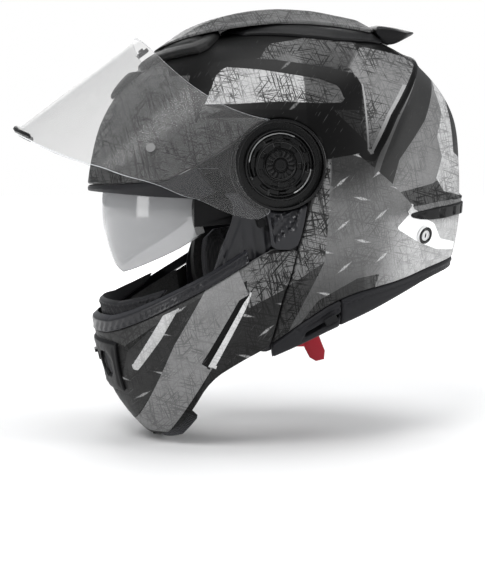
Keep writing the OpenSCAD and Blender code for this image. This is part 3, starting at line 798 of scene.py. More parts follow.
def paint_piece(skin, obj, areas, level, shade):
    """Writes the "paint" attribute: light, scratches and tread plate for each face, shaded smoothly
    by position. The skin's faces are the first faces of obj, in the same order."""
    middles = side(skin.centres())
    grey = np.full(len(middles), float(level))
    scratched, plated = np.full(len(middles), 0.9), np.zeros(len(middles))
    for outline, area_grey, area_scratched, area_plated in areas:
        inside = distance_in(middles, outline) < 0
        grey[inside], scratched[inside], plated[inside] = area_grey, area_scratched, area_plated
    # a light line round the V patch, a dark one beside its rear edge, and a grey painted highlight along the
    # raised crest
    if areas is SHELL_AREAS:
        near, crest = distance_in(middles, V_PATCH), distance_to_line(middles, CREST)
        y, z = middles.T
        for line, level in (((near < 0) & (near > -V_LINE) & (z < 60), 0.56),
                            ((near > 0) & (near < V_SHADE) & (y > 68), 0.04),
                            ((crest < CREST_HIGHLIGHT_WIDTH) & (y > 72) & (near > V_SHADE), 0.42)):
            grey[line], scratched[line] = level, 0.0
    mesh = obj.data
    totals = np.zeros(len(mesh.polygons), np.int32)
    mesh.polygons.foreach_get("loop_total", totals)
    corner_vertex = np.zeros(len(mesh.loops), np.int32)
    mesh.loops.foreach_get("vertex_index", corner_vertex)
    # the inner and edge faces, which come after the painted ones, get a plain dark grey
    values = np.tile((0.1, 0.0, 0.0), (len(mesh.polygons), 1))
    values[:len(middles)] = np.column_stack((grey**GAMMA, scratched, plated))
    corner = np.repeat(values, totals, axis=0)
    corner[:, 0] *= shade(coordinates(mesh)[corner_vertex] / MM)
    colour = np.ones((len(corner), 4), np.float32)
    colour[:, :3] = corner
    layer = mesh.attributes.new("paint", "FLOAT_COLOR", "CORNER")
    layer.data.foreach_set("color", colour.ravel())


def shell_shade(p):
    """Dark behind the pivot, darker in the foot of the V patch, and light at the lower rear."""
    behind = 0.2 + 0.8 * ease(np.hypot(p[:, 1] - 44, p[:, 2] - 32), 34, 70)
    behind = np.where(p[:, 1] < 20, 1.0, behind)
    wedge = (distance_in(side(p), LIGHT_WEDGE) < 1) | (distance_in(side(p), V_PATCH) < 1)
    foot = 0.35 + 0.65 * ease(p[:, 2], 12, 44)
    behind = np.where(wedge, np.where(p[:, 2] > 5, foot, 1.0), behind)
    rear = 1 + 2.2 * ease(p[:, 1], 66, 112) * (1 - ease(p[:, 2], -46, -34))
    low = 1 - 0.5 * ease(-p[:, 2], 56, 100) * (p[:, 1] < 66)
    return behind * rear * low


def chin_shade(p):
    return 0.45 + 0.55 * ease(-p[:, 1], 128, 96)


# ---- the painted shell ----

SEAM = [(21, -24), (17, -48.5), (13, -62), (8, -84), (3.5, -95), (-2, -121.5), (-5, -133)]
RIM = [(17, -118), (48.5, -98), (96, -86.5), (124, -77), (157, -71), (FAR, -55)]
RIM_LOW = [(-3, -143), (18, -134), (44.5, -121.5), (72, -110.5), (97, -98.5), (125, -86), (157, -80),
           (FAR, -64)]
BROW = [(-FAR, -17), (-136, -15.5), (-82, -11.5), (-78.5, -9.5), (-47, 7), (-29, 19.5), (-13, 30)]
CHIN_TOP = [(-FAR, -136), (-128, -130), (-114, -124.5), (-93, -113.5), (-71.5, -101), (-50, -89), (-22, -71),
            (-6, -62)]
CHIN_LOW = [(-5, -133), (-11, -137), (-27, -146), (-48, -160.5), (-60, -186), (-70, -203), (-88, -214),
            (-FAR, -228)]
SEAM_GAP = 1.4
HUB_SEAT = 33.8
LEDGE = smooth([(58, -46), (72.6, -44), (100, -35), (109, -33), (130, -29.5), (146, -26), (175, -20)])

shell_outline = ([(-FAR, FAR)] + smooth(BROW) + [(0, 0)] + smooth(shifted(SEAM, SEAM_GAP, 0)) + smooth(RIM)
                 + [(FAR, FAR)])


def split_at_areas(skin, areas):
    """Splits the faces along every area's outline, so that the paint's edges are crisp."""
    for k, (outline, *_) in enumerate(areas):
        skin.split(f"area{k}", distance_in(side(skin.points()), outline), 0.0)


def make_shell():
    skin = hull_grid(-100, 196, 5, 175, 0.86)
    points = skin.points()
    skin.field("edge", np.maximum(distance_in(side(points), shell_outline), circle_field(points, HUB_SEAT)))
    skin.cut("edge", SPARE)
    split_at_areas(skin, SHELL_AREAS)
    skin.split("stroke", distance_in(side(skin.points()), V_PATCH), -V_LINE, V_SHADE)
    # faces are split along the edges of the painted highlight on the crest
    skin.split("crest", distance_to_line(side(skin.points()), CREST), CREST_HIGHLIGHT_WIDTH)
    skin.edge("edge", 1.5)
    at = side(skin.points())
    lift = -rounding(-skin.fields["edge"], 1.5)
    # a raised crest behind the V patch, and the patch itself sunk a little
    crest = distance_to_line(at, CREST)
    lift += 2.6 * ridge(crest, 0, 5.0) * ease(at[:, 1], -6, 24)
    lift -= 0.9 * ease(-distance_in(at, V_PATCH), 0, 1.6)
    # the rear ledge: the lower flank stands out under a step that fades out to the front
    under = ease(distance_to_line(at, LEDGE), 0, 9)
    below = distance_in(at, LEDGE + [(175, -200), (58, -200)]) < 0
    lift += np.where(below, 2.4 * (1 - 0.55 * under), 0.0) * ease(at[:, 0], 58, 96)
    # shallow scallops round the light patches
    for outline in (UPPER_PATCH, LOWER_PATCH):
        lift -= 0.8 * ease(-distance_in(at, outline), 0, 1.4)
    shell = solid(skin, "painted_outer_shell", -lift, 4.0)
    paint_piece(skin, shell, SHELL_AREAS, 0.28, shell_shade)
    dress(shell, "shell", "painted_shell", PAINT, INNER_WALL, PAINT, replaces=["outer_shell"])


def make_chin_bar():
    outline = smooth(CHIN_TOP) + smooth([(13, -62)] + SEAM[2:], 1) + smooth(CHIN_LOW)
    skin = hull_grid(176, 312, 5, 175, 0.8)
    points = skin.points()
    mouth = smooth_loop([(-46, -138), (46, -138), (36, -166), (-36, -166)], 1)
    notch = [(-13.6, -260), (13.6, -260), (13.6, -150), (-13.6, -150)]
    hole, slot = front_window(points, mouth, -90), button_slot(points, notch, -87, -73)
    edge = np.maximum(distance_in(side(points), outline), circle_field(points, HUB_SEAT + 0.4))
    skin.field("edge", np.maximum(np.maximum(edge, hole), slot))
    skin.cut("edge", SPARE)
    split_at_areas(skin, CHIN_AREAS)
    skin.edge("edge", 1.4)
    at = side(skin.points())
    lift = 1.5 - rounding(-skin.fields["edge"], 1.4)
    # sharp folds beside the two bright slashes, and a crease along the jaw
    for line in ([(-20, -92), (-49, -148)], [(-77, -110), (-103, -153)]):
        lift += 1.3 * ridge(distance_to_line(at, line), 0, 3.2)
    lift += 1.0 * ridge(distance_to_line(at, [(-126, -150), (-112, -190), (-96, -212)]), 0, 5.0)
    chin = solid(skin, "painted_chin_bar", -lift, 2.0)
    paint_piece(skin, chin, CHIN_AREAS, 0.13, chin_shade)
    dress(chin, "chin_bar", "painted_shell", PAINT, INNER_WALL, PAINT, replaces=["chin_bar_shell"])


make_shell()
make_chin_bar()


# ---- trim and black plastic that follows the hull ----

SIDES = (("left", 5, 84), ("right", 96, 175))


def strip(name, outline, body, slot, material, nodes, outer, inner, radius, angles, tilts=(12, 168), step=0.8,
          relief=None, holes=None, sharp=38):
    """A piece that lies in the hull surface inside a side outline. The relief function gives
    extra height from (points, distance inside the edge), and holes a field that cuts through."""
    skin = hull_grid(*angles, *tilts, step)
    points = skin.points()
    edge = distance_in(side(points), outline)
    if holes is not None:
        edge = np.maximum(edge, holes(points))
    inside = skin.trim(edge, radius)
    lift = -rounding(inside, radius)
    if relief is not None:
        lift = lift + relief(skin.points(), inside)
    obj = solid(skin, name, outer - lift, inner, sharp=sharp)
    materials = material if isinstance(material, tuple) else (material,)
    return dress(obj, body, slot, *materials, replaces=nodes)


def trim_relief(points, inside):
    """A rolled bead with a groove above it."""
    low = distance_to_line(side(points), smooth(RIM_LOW))
    high = distance_to_line(side(points), smooth(RIM))
    return 1.2 * ease(low, 0, 5) * ease(high, 0, 5) - 1.6 * ridge(high, 4.5, 1.1)


def make_rim_trims():
    top = smooth([(y, z - 0.4) for y, z in RIM])
    band = [(-3.5, -133.6)] + top + smooth(RIM_LOW)[::-1]

    def stretch(low, high):
        """The band is kept between two places along Y."""
        return lambda p: np.maximum(low - p[:, 1], p[:, 1] - high)

    def side_holes(p):
        field = stretch(-8, 48)(p)
        # the slot that the sun visor's lever slides in, on the left
        slot = distance_in(side(p), [(19, -129), (45, -114.5), (48, -109), (22, -123.5)])
        return np.maximum(field, np.where(p[:, 0] > 90, -slot, NO_HOLE))

    strip("rim_trim_rear_rubber", band, "shell", "rubber_trim", RUBBER, ["rim_trim_rear"], -1.0, 6.0, 2.6,
          (-80, 0), step=0.7, relief=trim_relief, holes=stretch(48.4, FAR))
    for name, low, high in SIDES:
        strip(f"rim_trim_{name}_rubber", band, "shell", "rubber_trim", RUBBER, [f"rim_trim_{name}"], -1.0,
              6.0, 2.0,
              (-96, -60), (low, high), 0.6, relief=trim_relief, holes=side_holes)


def make_brow_gasket():
    outline = ([(-FAR, -17.4), (-136, -16), (-82, -12), (-78.5, -10), (-62, -1.5), (-47, -20), (-58, -25),
                (-93, -23.5),
                (-136, -20.5), (-FAR, -22)])
    strip("brow_gasket_rubber", outline, "shell", "rubber_trim", RUBBER, ["brow_gasket"], 0.6, 4.8, 1.2,
          (170, 212), step=0.6, holes=lambda p: circle_field(p, 48),
          relief=lambda p, d: 1.0 * ease(d, 1, 3))


def frame_relief(points, inside):
    """Upright ribs and a soft roll along the front of the side frame."""
    y, z = points[:, 1], points[:, 2]
    lean = y + 0.14 * (z + 106)
    ribs = sum(ridge(lean, c, 1.3) for c in (-36, -20.5, -12.5, -4.5, 3.5))
    fade = ease(z, -126, -116) * (1 - ease(z, -60, -40))
    return 1.4 * ribs * fade - 0.9 * ridge(inside, 5, 1.0) * ease(-y, 20, 34)


def make_side_frames():
    outline = smooth_loop([(-46, -21), (-36, -26), (-34, -38), (-43, -62), (-53, -93), (-44, -130),
                           (-11, -145),
                           (-1, -142), (16, -131), (24, -100), (32, -60), (34, -20)], 2)

    def holes(p):
        field = circle_field(p, 36.5)
        for at, radius in (((-34, -112), 4.5), ((-2, -66), 5.4)):
            field = np.maximum(field, circle_field(p, radius, at))
        return field

    for name, low, high in SIDES:
        strip(f"side_frame_{name}_cover", outline, "shell", "black_plastic", SLATE, [f"side_frame_{name}"],
              6.6, 10.0,
              1.2, (184, 330), (low, high), 0.7, relief=frame_relief, holes=holes)


def cowl_relief(points, inside):
    """The air slot across the front, and a crease along the lower edge."""
    x, z = np.abs(points[:, 0]), points[:, 2]
    slot = ease(36 - x, 0, 3) * np.exp(-(((z - 73) / 2.6) ** 4)) * (points[:, 1] < -90)
    return 1.4 * ease(inside, 3, 12) - 3.6 * slot - 0.8 * ridge(inside, 6, 0.9)


def make_cowl():
    outline = smooth_loop([(-122, 45), (-121, 60), (-112, 78), (-92, 92), (-60, 102), (-30, 104), (-36, 96),
                           (-49, 84),
                           (-63, 82), (-77, 79.5), (-88, 75), (-99, 67.5), (-111, 56)], 1)
    seat = [(-11.5, 76), (11.5, 76), (11.5, 99), (-11.5, 99)]
    strip("brow_cowl", outline, "shell", "fairing_grey", MATT, ["brow_vent_cowl"], -4.8, -0.4, 2.4, (92, 166),
          step=0.7,
          relief=cowl_relief, holes=lambda p: front_window(p, seat, -70))


CROWN_HEIGHTS = [(-79, 6.6), (-70, 8.8), (-54, 11.4), (-34, 13.8), (-18, 14.4), (10, 14.8), (35, 14.6),
                 (51, 13.6),
                 (75, 13.3), (90, 13.2)]


def crown_skin(half, radius, *grid):
    """A skin over the crown inside a plan outline, given by its right half, and the distance inside."""
    outline = half + [(-x, y) for x, y in half[::-1]]
    skin = hull_grid(*grid)
    at = skin.points()
    return skin, skin.trim(np.where(at[:, 2] > 40, distance_in(plan(at), smooth_loop(outline, 1)), 99),
                           radius)


def make_crown():
    """The arched fairing over the crown and the black base under it."""
    skin, inside = crown_skin([(-18, -78), (-40, -44), (-46, 0), (-42, 50), (-38, 88)], 2.2, 44, 134, 30, 150,
                              0.7)
    at = skin.points()
    ys, heights = zip(*CROWN_HEIGHTS)
    height = np.interp(at[:, 1], ys, heights) - 6.6
    rolls = ridge(np.abs(at[:, 0]), 24, 3.0) * 0.9
    lift = 6.6 + (height + rolls) * (0.25 + 0.75 * ease(inside, -2, 24)) - rounding(inside, 2.2)
    crown = solid(skin, "crown_fairing_cover", -lift, -6.5)
    level_areas = [([(-100, 60), (100, 60), (100, 140), (-100, 140)], 0.36, 0.7, 0.0)]
    paint_piece(skin, crown, level_areas, 0.36, lambda p: np.ones(len(p)))
    dress(crown, "shell", "fairing_grey", PAINT, MATT, MATT, replaces=["crown_fairing"])
    skin, inside = crown_skin([(-44, -29), (-60, 20), (-62, 60), (-40, 98)], 1.6, 38, 120, 20, 160, 0.8)
    obj = solid(skin, "crown_fairing_underlay",
                -5.9 + rounding(inside, 1.6) + 3.2 * (1 - ease(inside, 0, 14)), -0.4)
    dress(obj, "shell", "black_plastic", BLACK, replaces=["fairing_base"])


def loft(name, sections, closed_ends=True, sharp=38):
    """A solid through rings of points, all of the same length."""
    n = len(sections[0])
    points = np.vstack(sections)
    faces = []
    for s in range(len(sections) - 1):
        for k in range(n):
            a, b = s * n + k, s * n + (k + 1) % n
            faces.append([a, b, b + n, a + n])
    if closed_ends:
        faces.append(list(range(n)))
        faces.append([len(points) - 1 - k for k in range(n)])
    return build_mesh(name, points, faces, sharp=sharp)


TAIL_FRONT, TAIL_MIDDLE = 88.8, 104.0


def make_tail():
    profile = smooth_loop([(TAIL_FRONT, 111.4), (98, 110.9), (108.5, 109.7), (120, 107.4), (127, 106),
                           (118, 101.4),
                           (108.5, 98.4), (97.8, 98), (TAIL_FRONT, 103.6)], 2)
    sections = []
    for k in range(-20, 21):
        t = k / 20
        pull = 1 - 0.34 * abs(t) ** 2.6
        round_off = 1 - 0.5 * ease(abs(t), 0.93, 1.0)
        ring = []
        for y, z in profile:
            top = z - 3.2 * t * t
            low = z - 5.0 * t * t
            share = min(1, max(0, (z - 98) / 12))
            lifted = TAIL_MIDDLE + ((low + (top - low) * share) - TAIL_MIDDLE) * round_off
            ring.append((38 * t, TAIL_FRONT + (y - TAIL_FRONT) * pull, lifted))
        sections.append(np.array(ring))
    tail = loft("tail_spoiler_wing", sections)
    dress(tail, "shell", "fairing_grey", BLACK, replaces=["tail_spoiler"])


def make_rear_strip():
    outline = smooth_loop([(99, -36), (109, -34), (130, -30.5), (FAR, -20), (FAR, -32), (150, -37.5),
                           (125, -41),
                           (104, -40)], 1)
    strip("rear_vent_louvre", outline, "shell", "black_plastic", BLACK, ["rear_vent_strip"], -3.4, -0.4, 0.9,
          (-30, 0),
          step=0.6, relief=lambda p, d: -1.2 * (np.sin(p[:, 0] * 0.42) > 0.55) * ease(d, 1.2, 2.0))


def gasket_relief(points, inside):
    """Three ledges that run along the top of the chin bar."""
    d = distance_to_line(side(points), smooth(CHIN_TOP))
    return -1.1 * ridge(d, 2.6, 0.7) - 1.3 * ridge(d, 5.6, 0.8) - 1.6 * ease(d, 4, 9)


def make_chin_parts():
    top = [(-FAR, -135), (-128, -129.2), (-114, -123.7), (-93, -112.7), (-71.5, -100.2), (-50, -88.2),
           (-22, -70.2)]
    upper = [(-24, -63), (-50, -80), (-71.5, -92), (-93, -104), (-114, -115), (-128, -120.5), (-FAR, -126)]
    strip("chin_gasket_ledge", smooth(top) + smooth(upper), "chin_bar", "rubber_trim", SLATE,
          ["chin_bar_gasket"],
          -2.6, 5.0, 1.2, (204, 262), step=0.6, relief=gasket_relief)

    def vent_holes(p):
        field = np.where(p[:, 1] < -60, distance_in(front(p),
                                                    [(-56, -134), (56, -134), (44, -172), (-44, -172)]), 99)
        for s in (-1, 1):
            inlet = smooth_loop([(s * 20, -142), (s * 44, -142), (s * 38, -162), (s * 20, -162)], 1)
            field = np.maximum(field, -distance_in(front(p), inlet))
        window = smooth_loop([(-15.5, -140), (15.5, -140), (15.5, -163), (-15.5, -163)], 1)
        return np.maximum(field, -distance_in(front(p), window))

    strip("chin_vent_frame", [(-FAR, -FAR), (-60, -FAR), (-60, -100), (-FAR, -100)], "chin_bar",
          "black_plastic", BLACK,
          ["chin_vent_housing"], -4.4, -1.7, 1.2, (208, 246), (40, 140), 0.55, holes=vent_holes,
          relief=lambda p, d: 0.8 * ease(d, 2, 5))

    def weave(p, d):
        return 0.5 * (np.sin(p[:, 0] * 1.5) * np.sin(p[:, 2] * 1.5) > 0.1)

    mouth = [(-46, -139), (46, -139), (38, -166), (-38, -166)]
    strip("chin_vent_screen", [(-FAR, -FAR), (-60, -FAR), (-60, -100), (-FAR, -100)], "chin_bar",
          "black_plastic", RUBBER, [], -0.4, 1.4, 0.4, (208, 246), (40, 140), 0.55, relief=weave,
          holes=lambda p: np.where(p[:, 1] < -60, distance_in(front(p), mouth), 99))

    guard = [(-FAR, -131), (-124, -127), (-92, -108), (-84, -98), (-104, -106), (-122, -112), (-FAR, -116)]

    def lattice(p, d):
        one = np.abs(np.sin((p[:, 0] + p[:, 1] + 1.2 * p[:, 2]) * 0.30))
        return 1.2 * (1 - ease(one, 0.25, 0.5)) * ease(d, 0.5, 2) + 0.9 * (1 - ease(d, 2, 3)) - 0.9

    strip("breath_guard_lattice", guard, "chin_bar", "rubber_trim", RUBBER, ["breath_guard"], 8.6, 12.5, 1.2,
          (206, 240), (24, 156), 0.6, relief=lattice)
    liner = [(-FAR, -136), (-126, -132), (-92, -113.5), (-64, -98.5), (-60, -125), (-66, -180), (-74, -198),
             (-90, -208),
             (-FAR, -222)]

    def liner_holes(p):
        mouth = [(-40, -140), (40, -140), (30, -164), (-30, -164)]
        notch = [(-13.8, -300), (13.8, -300), (13.8, -100), (-13.8, -100)]
        return np.maximum(button_slot(p, notch, -87.2, -72.8), front_window(p, mouth))

    strip("chin_foam_block", liner, "chin_bar", "foam", FOAM, ["chin_bar_liner"], 8.0, 18.0, 3.0, (206, 262),
          step=1.2, holes=liner_holes)
    curtain = [(-FAR, -230), (-92, -217), (-72, -206), (-62, -190), (-56, -196), (-66, -213), (-84, -222),
               (-FAR, -240)]
    return strip("chin_curtain_cloth", curtain, "chin_bar", "liner_fabric", MESH_CLOTH, ["chin_curtain"], 3.2,
                 5.0, 0.8,
                 (222, 300), step=0.8,
                 holes=lambda p: np.where((p[:, 1] > -87) & (p[:, 1] < -73), 13.8 - np.abs(p[:, 0]), NO_HOLE))


LOUVRE = [(-8, -38), (14.5, -29), (12, -44), (-4.5, -56)]


def cover_relief(points, inside):
    """A framed triangular vent with slats that fan out from its top."""
    at = side(points)
    d = -distance_in(at, LOUVRE)
    fan = np.arctan2(at[:, 1] + 22, at[:, 0] - 22)
    slats = 0.5 + 0.5 * np.sin(fan * 22)
    return -1.9 * ease(d, 0, 0.9) + 1.6 * ease(slats, 0.55, 0.8) * ease(d, 1.2, 2.2) + 0.7 * ridge(d, 0, 0.9)


def make_pivot_covers():
    outline = smooth_loop([(-14, -28), (-9.8, -36), (-7.4, -50), (-6.6, -61.2), (12, -61.2), (16.4, -48.5),
                           (20.4, -24),
                           (0, -18)], 1)
    for name, low, high in (("left", 4, 40), ("right", 140, 176)):
        strip(f"pivot_cover_{name}_vent", outline, "chin_bar", "black_plastic", SLATE,
              [f"pivot_cover_{name}"], -2.2, 1.5,
              0.9, (225, 335), (low, high), 0.5, relief=cover_relief,
              holes=lambda p: circle_field(p, HUB_SEAT + 0.5))


make_rim_trims()
make_brow_gasket()
make_side_frames()
make_cowl()
make_crown()
make_tail()
make_rear_strip()
chin_cloth = make_chin_parts()
make_pivot_covers()


# ---- the visors ----

def make_visor():
    outline = ([(-FAR, -16)] + smooth([(-122, -17.5), (-105, -17), (-90, -15), (-77, -12), (-66, -8),
                                       (-55, -3.5),
               (-45, 2.5), (-36, 9), (-30, 15)]) + [(0, 0)] + smooth([(22, -28), (21, -38.5), (2, -53.5),
               (-17, -61.5), (-25, -69), (-39, -76), (-49, -82), (-66, -95), (-77, -101), (-85, -107),
               (-108, -122), (-138, -136)]) + [(-FAR, -138)])
    skin = Skin(visor_sheet, np.arange(-114, 115, 1.0), np.arange(-141, 20, 1.6))
    points = skin.points()
    inside = skin.trim(np.maximum(distance_in(side(points), outline), circle_field(points, 33)), 0.8)
    drop = rounding(inside, 0.8)
    lens = solid(skin, "visor_lens_clear", drop, VISOR_WALL, turn=-VISOR_RAISE)
    dress(lens, "visor", "clear_visor", CLEAR, CLEAR, CLEAR_EDGE_HIGHLIGHT, replaces=["visor_lens"])
    tab = [(-FAR, -133.5), (-136.5, -131.5), (-128, -127.5), (-126, -129.5), (-138, -135.6), (-FAR, -137.7)]
    skin = Skin(visor_sheet, np.arange(-60, 60.5, 1.0), np.arange(-140, -124, 0.6))
    inside = skin.trim(distance_in(side(skin.points()), tab), 0.9)
    ribs = 0.4 * (np.sin(skin.uv[:, 0] * 2.4) > 0) * (np.abs(skin.uv[:, 0]) < 24) * ease(inside, 1, 2)
    lip = solid(skin, "visor_lift_lip", -1.8 + rounding(inside, 0.9) - ribs, -0.25, turn=-VISOR_RAISE)
    dress(lip, "visor", "black_plastic", BLACK, replaces=["visor_tab"])


def make_sun_visor():
    skin = Skin(sun_sheet, np.arange(SUN_TOP, SUN_FOOT + 0.4, 1.0), np.arange(-86, 86.4, 1.6))
    low = SUN_FOOT * math.radians(1) * SUN_RADIUS
    high = SUN_TOP * math.radians(1) * SUN_RADIUS
    outline = [(high, -86), (low - 9, -86), (low - 3, -83.5), (low, -77), (low, -24), (low - 5, -12),
               (low - 7, 0),
               (low - 5, 12), (low, 24), (low, 77), (low - 3, 83.5), (low - 9, 86), (high, 86)]
    at = np.column_stack((skin.uv[:, 0] * math.radians(1) * SUN_RADIUS, skin.uv[:, 1]))
    skin.field("edge", distance_in(at, outline))
    skin.edge("edge", 0.7)
    lens = solid(skin, "sun_visor_smoked", rounding(-skin.fields["edge"], 0.7), 1.8)
    dress(lens, "sun_visor", "tinted_visor", SMOKE, SMOKE, SMOKE_EDGE, replaces=["sun_visor_lens"])


# ---- the pivot hubs ----

def dial(side_sign):
    """A grid of points on the hub's face: turn and radius, at a height over x = 119."""
    def place(turn, radius, depth):
        a = np.radians(turn)
        return np.column_stack((side_sign * (119 - depth), radius * np.cos(a), radius * np.sin(a)))
    return place


def between(value, low, high, soft=0.35):
    return ease(value, low - soft, low + soft) * (1 - ease(value, high - soft, high + soft))


def make_hub(name, side_sign):
    skin = Skin(dial(side_sign), np.arange(0, 361, 1.5), np.arange(2.3, 26.01, 0.3))
    turn, radius = skin.uv.T
    petals = ease(np.cos(np.radians(turn * 16)), -0.2, 0.4)
    boss = 2.3 * (1 - ease(radius, 10.6, 11.4)) - 1.1 * petals * between(radius, 6.2,
            9.8) - 0.9 * between(radius, 4.4, 5.4)
    ring = 1.9 * between(radius, 16.9, 18.4) + 0.9 * between(radius, 12.2, 16.9)
    rim = 1.6 * ease(radius, 24.0, 24.6) * (1 - ease(radius, 25.6, 26.2) * 0.5)
    blocks = 1.3 * between(radius, 19.3, 21.3) * ease(np.cos(np.radians(turn * 9 + 40)), 0.1, 0.4)
    keys = -1.0 * between(radius, 13.0, 15.9) * ease(np.cos(np.radians(turn * 7 + 20)), 0.3, 0.5)
    arc = -1.6 * between(radius, 21.9, 23.7) * (1 - between(turn % 360, 205, 250, 3)
                                                - between(turn % 360, 330, 352, 3))
    lift = boss + ring + rim + blocks + keys + arc
    cap = solid(skin, f"hub_dial_{name}", -lift, 2.8, sharp=30)
    dress(cap, "chin_bar", "black_plastic", GLOSS_BLACK, replaces=[f"hub_cap_{name}"])
    for label, low, high in (("upper", 62, 176), ("lower", 296, 352)):
        sections = []
        for k in range(37):
            a = math.radians(low + (high - low) * k / 36)
            r = 0.62 * (1.0 if 0 < k < 36 else 0.3)
            ring = [(side_sign * (118.6 + r * math.cos(t)), (22.8 + r * math.sin(t)) * math.cos(a),
                     (22.8 + r * math.sin(t)) * math.sin(a)) for t in np.linspace(0, 2 * math.pi, 11)[:-1]]
            sections.append(np.array(ring))
        spring = loft(f"hub_spring_{label}_{name}", sections)
        dress(spring, "chin_bar", "steel", STEEL)


PLUG_SEAT = np.array([87.2, 113.0, -52.0])
PLUG_SPIN, PLUG_TIP = math.radians(31.5), math.radians(13.5)


def make_plug_rims():
    """A black rim round each rear plug and a slot across its middle."""
    outward = np.array([math.cos(PLUG_TIP) * math.cos(PLUG_SPIN), math.cos(PLUG_TIP) * math.sin(PLUG_SPIN),
                        -math.sin(PLUG_TIP)])
    across = np.array([-math.sin(PLUG_SPIN), math.cos(PLUG_SPIN), 0.0])
    up = np.cross(outward, across)
    turns = np.linspace(0, 2 * math.pi, 17)[:-1, None]
    for name, side_sign in (("left", 1), ("right", -1)):
        mirror = (side_sign, 1, 1)
        sections = []
        for a in np.linspace(0, 2 * math.pi, 49):
            radial = across * math.cos(a) + up * math.sin(a)
            sections.append((PLUG_SEAT + outward * (5.3 + 0.9 * np.sin(turns)) + radial
                             * (5.3 + 1.3 * np.cos(turns)))
                            * mirror)
        rim = loft(f"rear_plug_rim_{name}", sections, closed_ends=False)
        dress(rim, "shell", "black_plastic", GLOSS_BLACK)
        sections = [(PLUG_SEAT + outward * height + up * (1.9 * size * np.cos(turns)) + across
                     * (0.6 * size * np.sin(turns)))
                    * mirror for height, size in ((4.7, 1.0), (5.4, 1.0), (5.6, 0.75))]
        slot = loft(f"rear_plug_slot_{name}", sections)
        dress(slot, "shell", "black_plastic", GLOSS_BLACK)


# ---- soft lining ----

def puffed(inside, height, reach):
    """Height of a stuffed surface at a distance inside its seam."""
    t = np.clip(inside / reach, 0, 1)
    return height * np.sqrt(1 - (1 - t) ** 2)


VOXEL, PRESSURE, FRAMES, MOST_SWELL = 5.0, 4.0, 20, 2.5


def stuff(pad):
    """Fills a pad by simulating a coarse copy of it as cloth under pressure. The copy's swelling, of
    at most so many millimetres, is carried over to the pad's inner side, which keeps its seams."""
    scene = bpy.context.scene
    coarse = bpy.data.objects.new("coarse_pad", pad.data.copy())
    scene.collection.objects.link(coarse)
    remesh = coarse.modifiers.new("remesh", "REMESH")
    remesh.mode, remesh.voxel_size = "VOXEL", VOXEL * MM
    graph = bpy.context.evaluated_depsgraph_get()
    mesh = bpy.data.meshes.new_from_object(coarse.evaluated_get(graph))
    coarse.modifiers.clear()
    coarse.data = mesh
    before = coordinates(mesh)
    cloth = coarse.modifiers.new("fill", "CLOTH")
    cloth.settings.use_pressure, cloth.settings.uniform_pressure_force = True, PRESSURE
    cloth.settings.effector_weights.gravity = 0.0
    cloth.point_cache.frame_start, cloth.point_cache.frame_end = 1, FRAMES
    for number in range(1, FRAMES + 1):
        scene.frame_set(number)
    graph = bpy.context.evaluated_depsgraph_get()
    moved = coordinates(coarse.evaluated_get(graph).data) - before
    moved -= moved.mean(axis=0)
    moved *= np.minimum(1, MOST_SWELL * MM / np.maximum(np.linalg.norm(moved, axis=1), 1e-9))[:, None]
    tree = kdtree.KDTree(len(before))
    for k, point in enumerate(before):
        tree.insert(point, k)
    tree.balance()
    points, normals = coordinates(pad.data), np.array([v.normal for v in pad.data.vertices])
    inward = -points * (0, 1, 1) / np.linalg.norm(points[:, 1:], axis=1)[:, None] - points * (4, 0, 0)
    inner = np.clip(2 * (normals * inward).sum(axis=1), 0, 1)
    shift = np.zeros_like(points)
    for k, point in enumerate(points):
        near = tree.find_n(point, 4)
        weights = np.array([1 / (distance + 1e-4) for _, _, distance in near])
        shift[k] = weights @ moved[[index for _, index, _ in near]] / weights.sum()
    pad.data.vertices.foreach_set("co", (points + shift * inner[:, None]).ravel())
    pad.data.update()
    bpy.data.objects.remove(coarse)
    scene.frame_set(1)


def cushion(name, outline, nodes, outer, inner, puff, angles, tilts=(12, 168), step=1.1, reach=16, seams=()):
    """A pad in the hull: its outer side lies on the foam, and its inner side is stuffed, with
    sewn channels along the seams, which are functions of the points."""
    skin = hull_grid(*angles, *tilts, step)
    inside = skin.trim(distance_in(side(skin.points()), outline), 3.0)
    swell = puffed(inside, puff, reach)
    for seam in seams:
        gap = np.abs(seam(skin.points()))
        swell = swell * (0.35 + 0.65 * puffed(gap, 1, reach * 0.7)) - 0.9 * ridge(gap, 0, 0.9)
    piping = 1.1 * ridge(inside, 1.6, 1.0)
    pad = solid(skin, name, outer + rounding(inside, 3.0),
                inner + swell + piping - rounding(inside, 3.0) * 0.5, sharp=70)
    stuff(pad)
    dress(pad, "shell", "liner_fabric", KNIT, replaces=nodes)


def make_lining():
    crown = [(-FAR, FAR), (-FAR, -4), (-56, -4), (-40, -36), (30, -57), (100, -68), (150, -55), (FAR, -45),
             (FAR, FAR)]
    cushion("crown_liner_padding", crown, ["crown_liner"], 34.8, 38.5, 5.5, (-76, 192), step=1.3, reach=18,
            seams=(lambda p: np.abs(p[:, 0]) - 24, lambda p: p[:, 1] + 34 + 0.3 * np.abs(p[:, 0]),
                   lambda p: p[:, 1] - 58))
    cheek = smooth_loop([(-40, -66), (-8, -60), (14, -64), (14, -124), (-8, -133), (-36, -124), (-42, -95)],
                        1)
    for name, low, high in (("left", 14, 76), ("right", 104, 166)):
        cushion(f"cheek_pad_{name}_cover", cheek, [f"cheek_pad_{name}"], 22.6, 33, 10.5, (212, 292),
                (low, high), reach=22,
                seams=(lambda p: 0.9 * (p[:, 1] + 12) + 0.35 * (p[:, 2] + 96),))
    roll = [(46, -75), (100, -80), (150, -67), (FAR, -57), (FAR, -72), (157, -84), (125, -90), (97, -103),
            (72, -114),
            (46, -124)]
    cushion("neck_roll_cover", roll, ["neck_roll"], 12.4, 27, 8.0, (-72, -12), reach=14,
            seams=(lambda p: np.abs(p[:, 0]) - 46,))


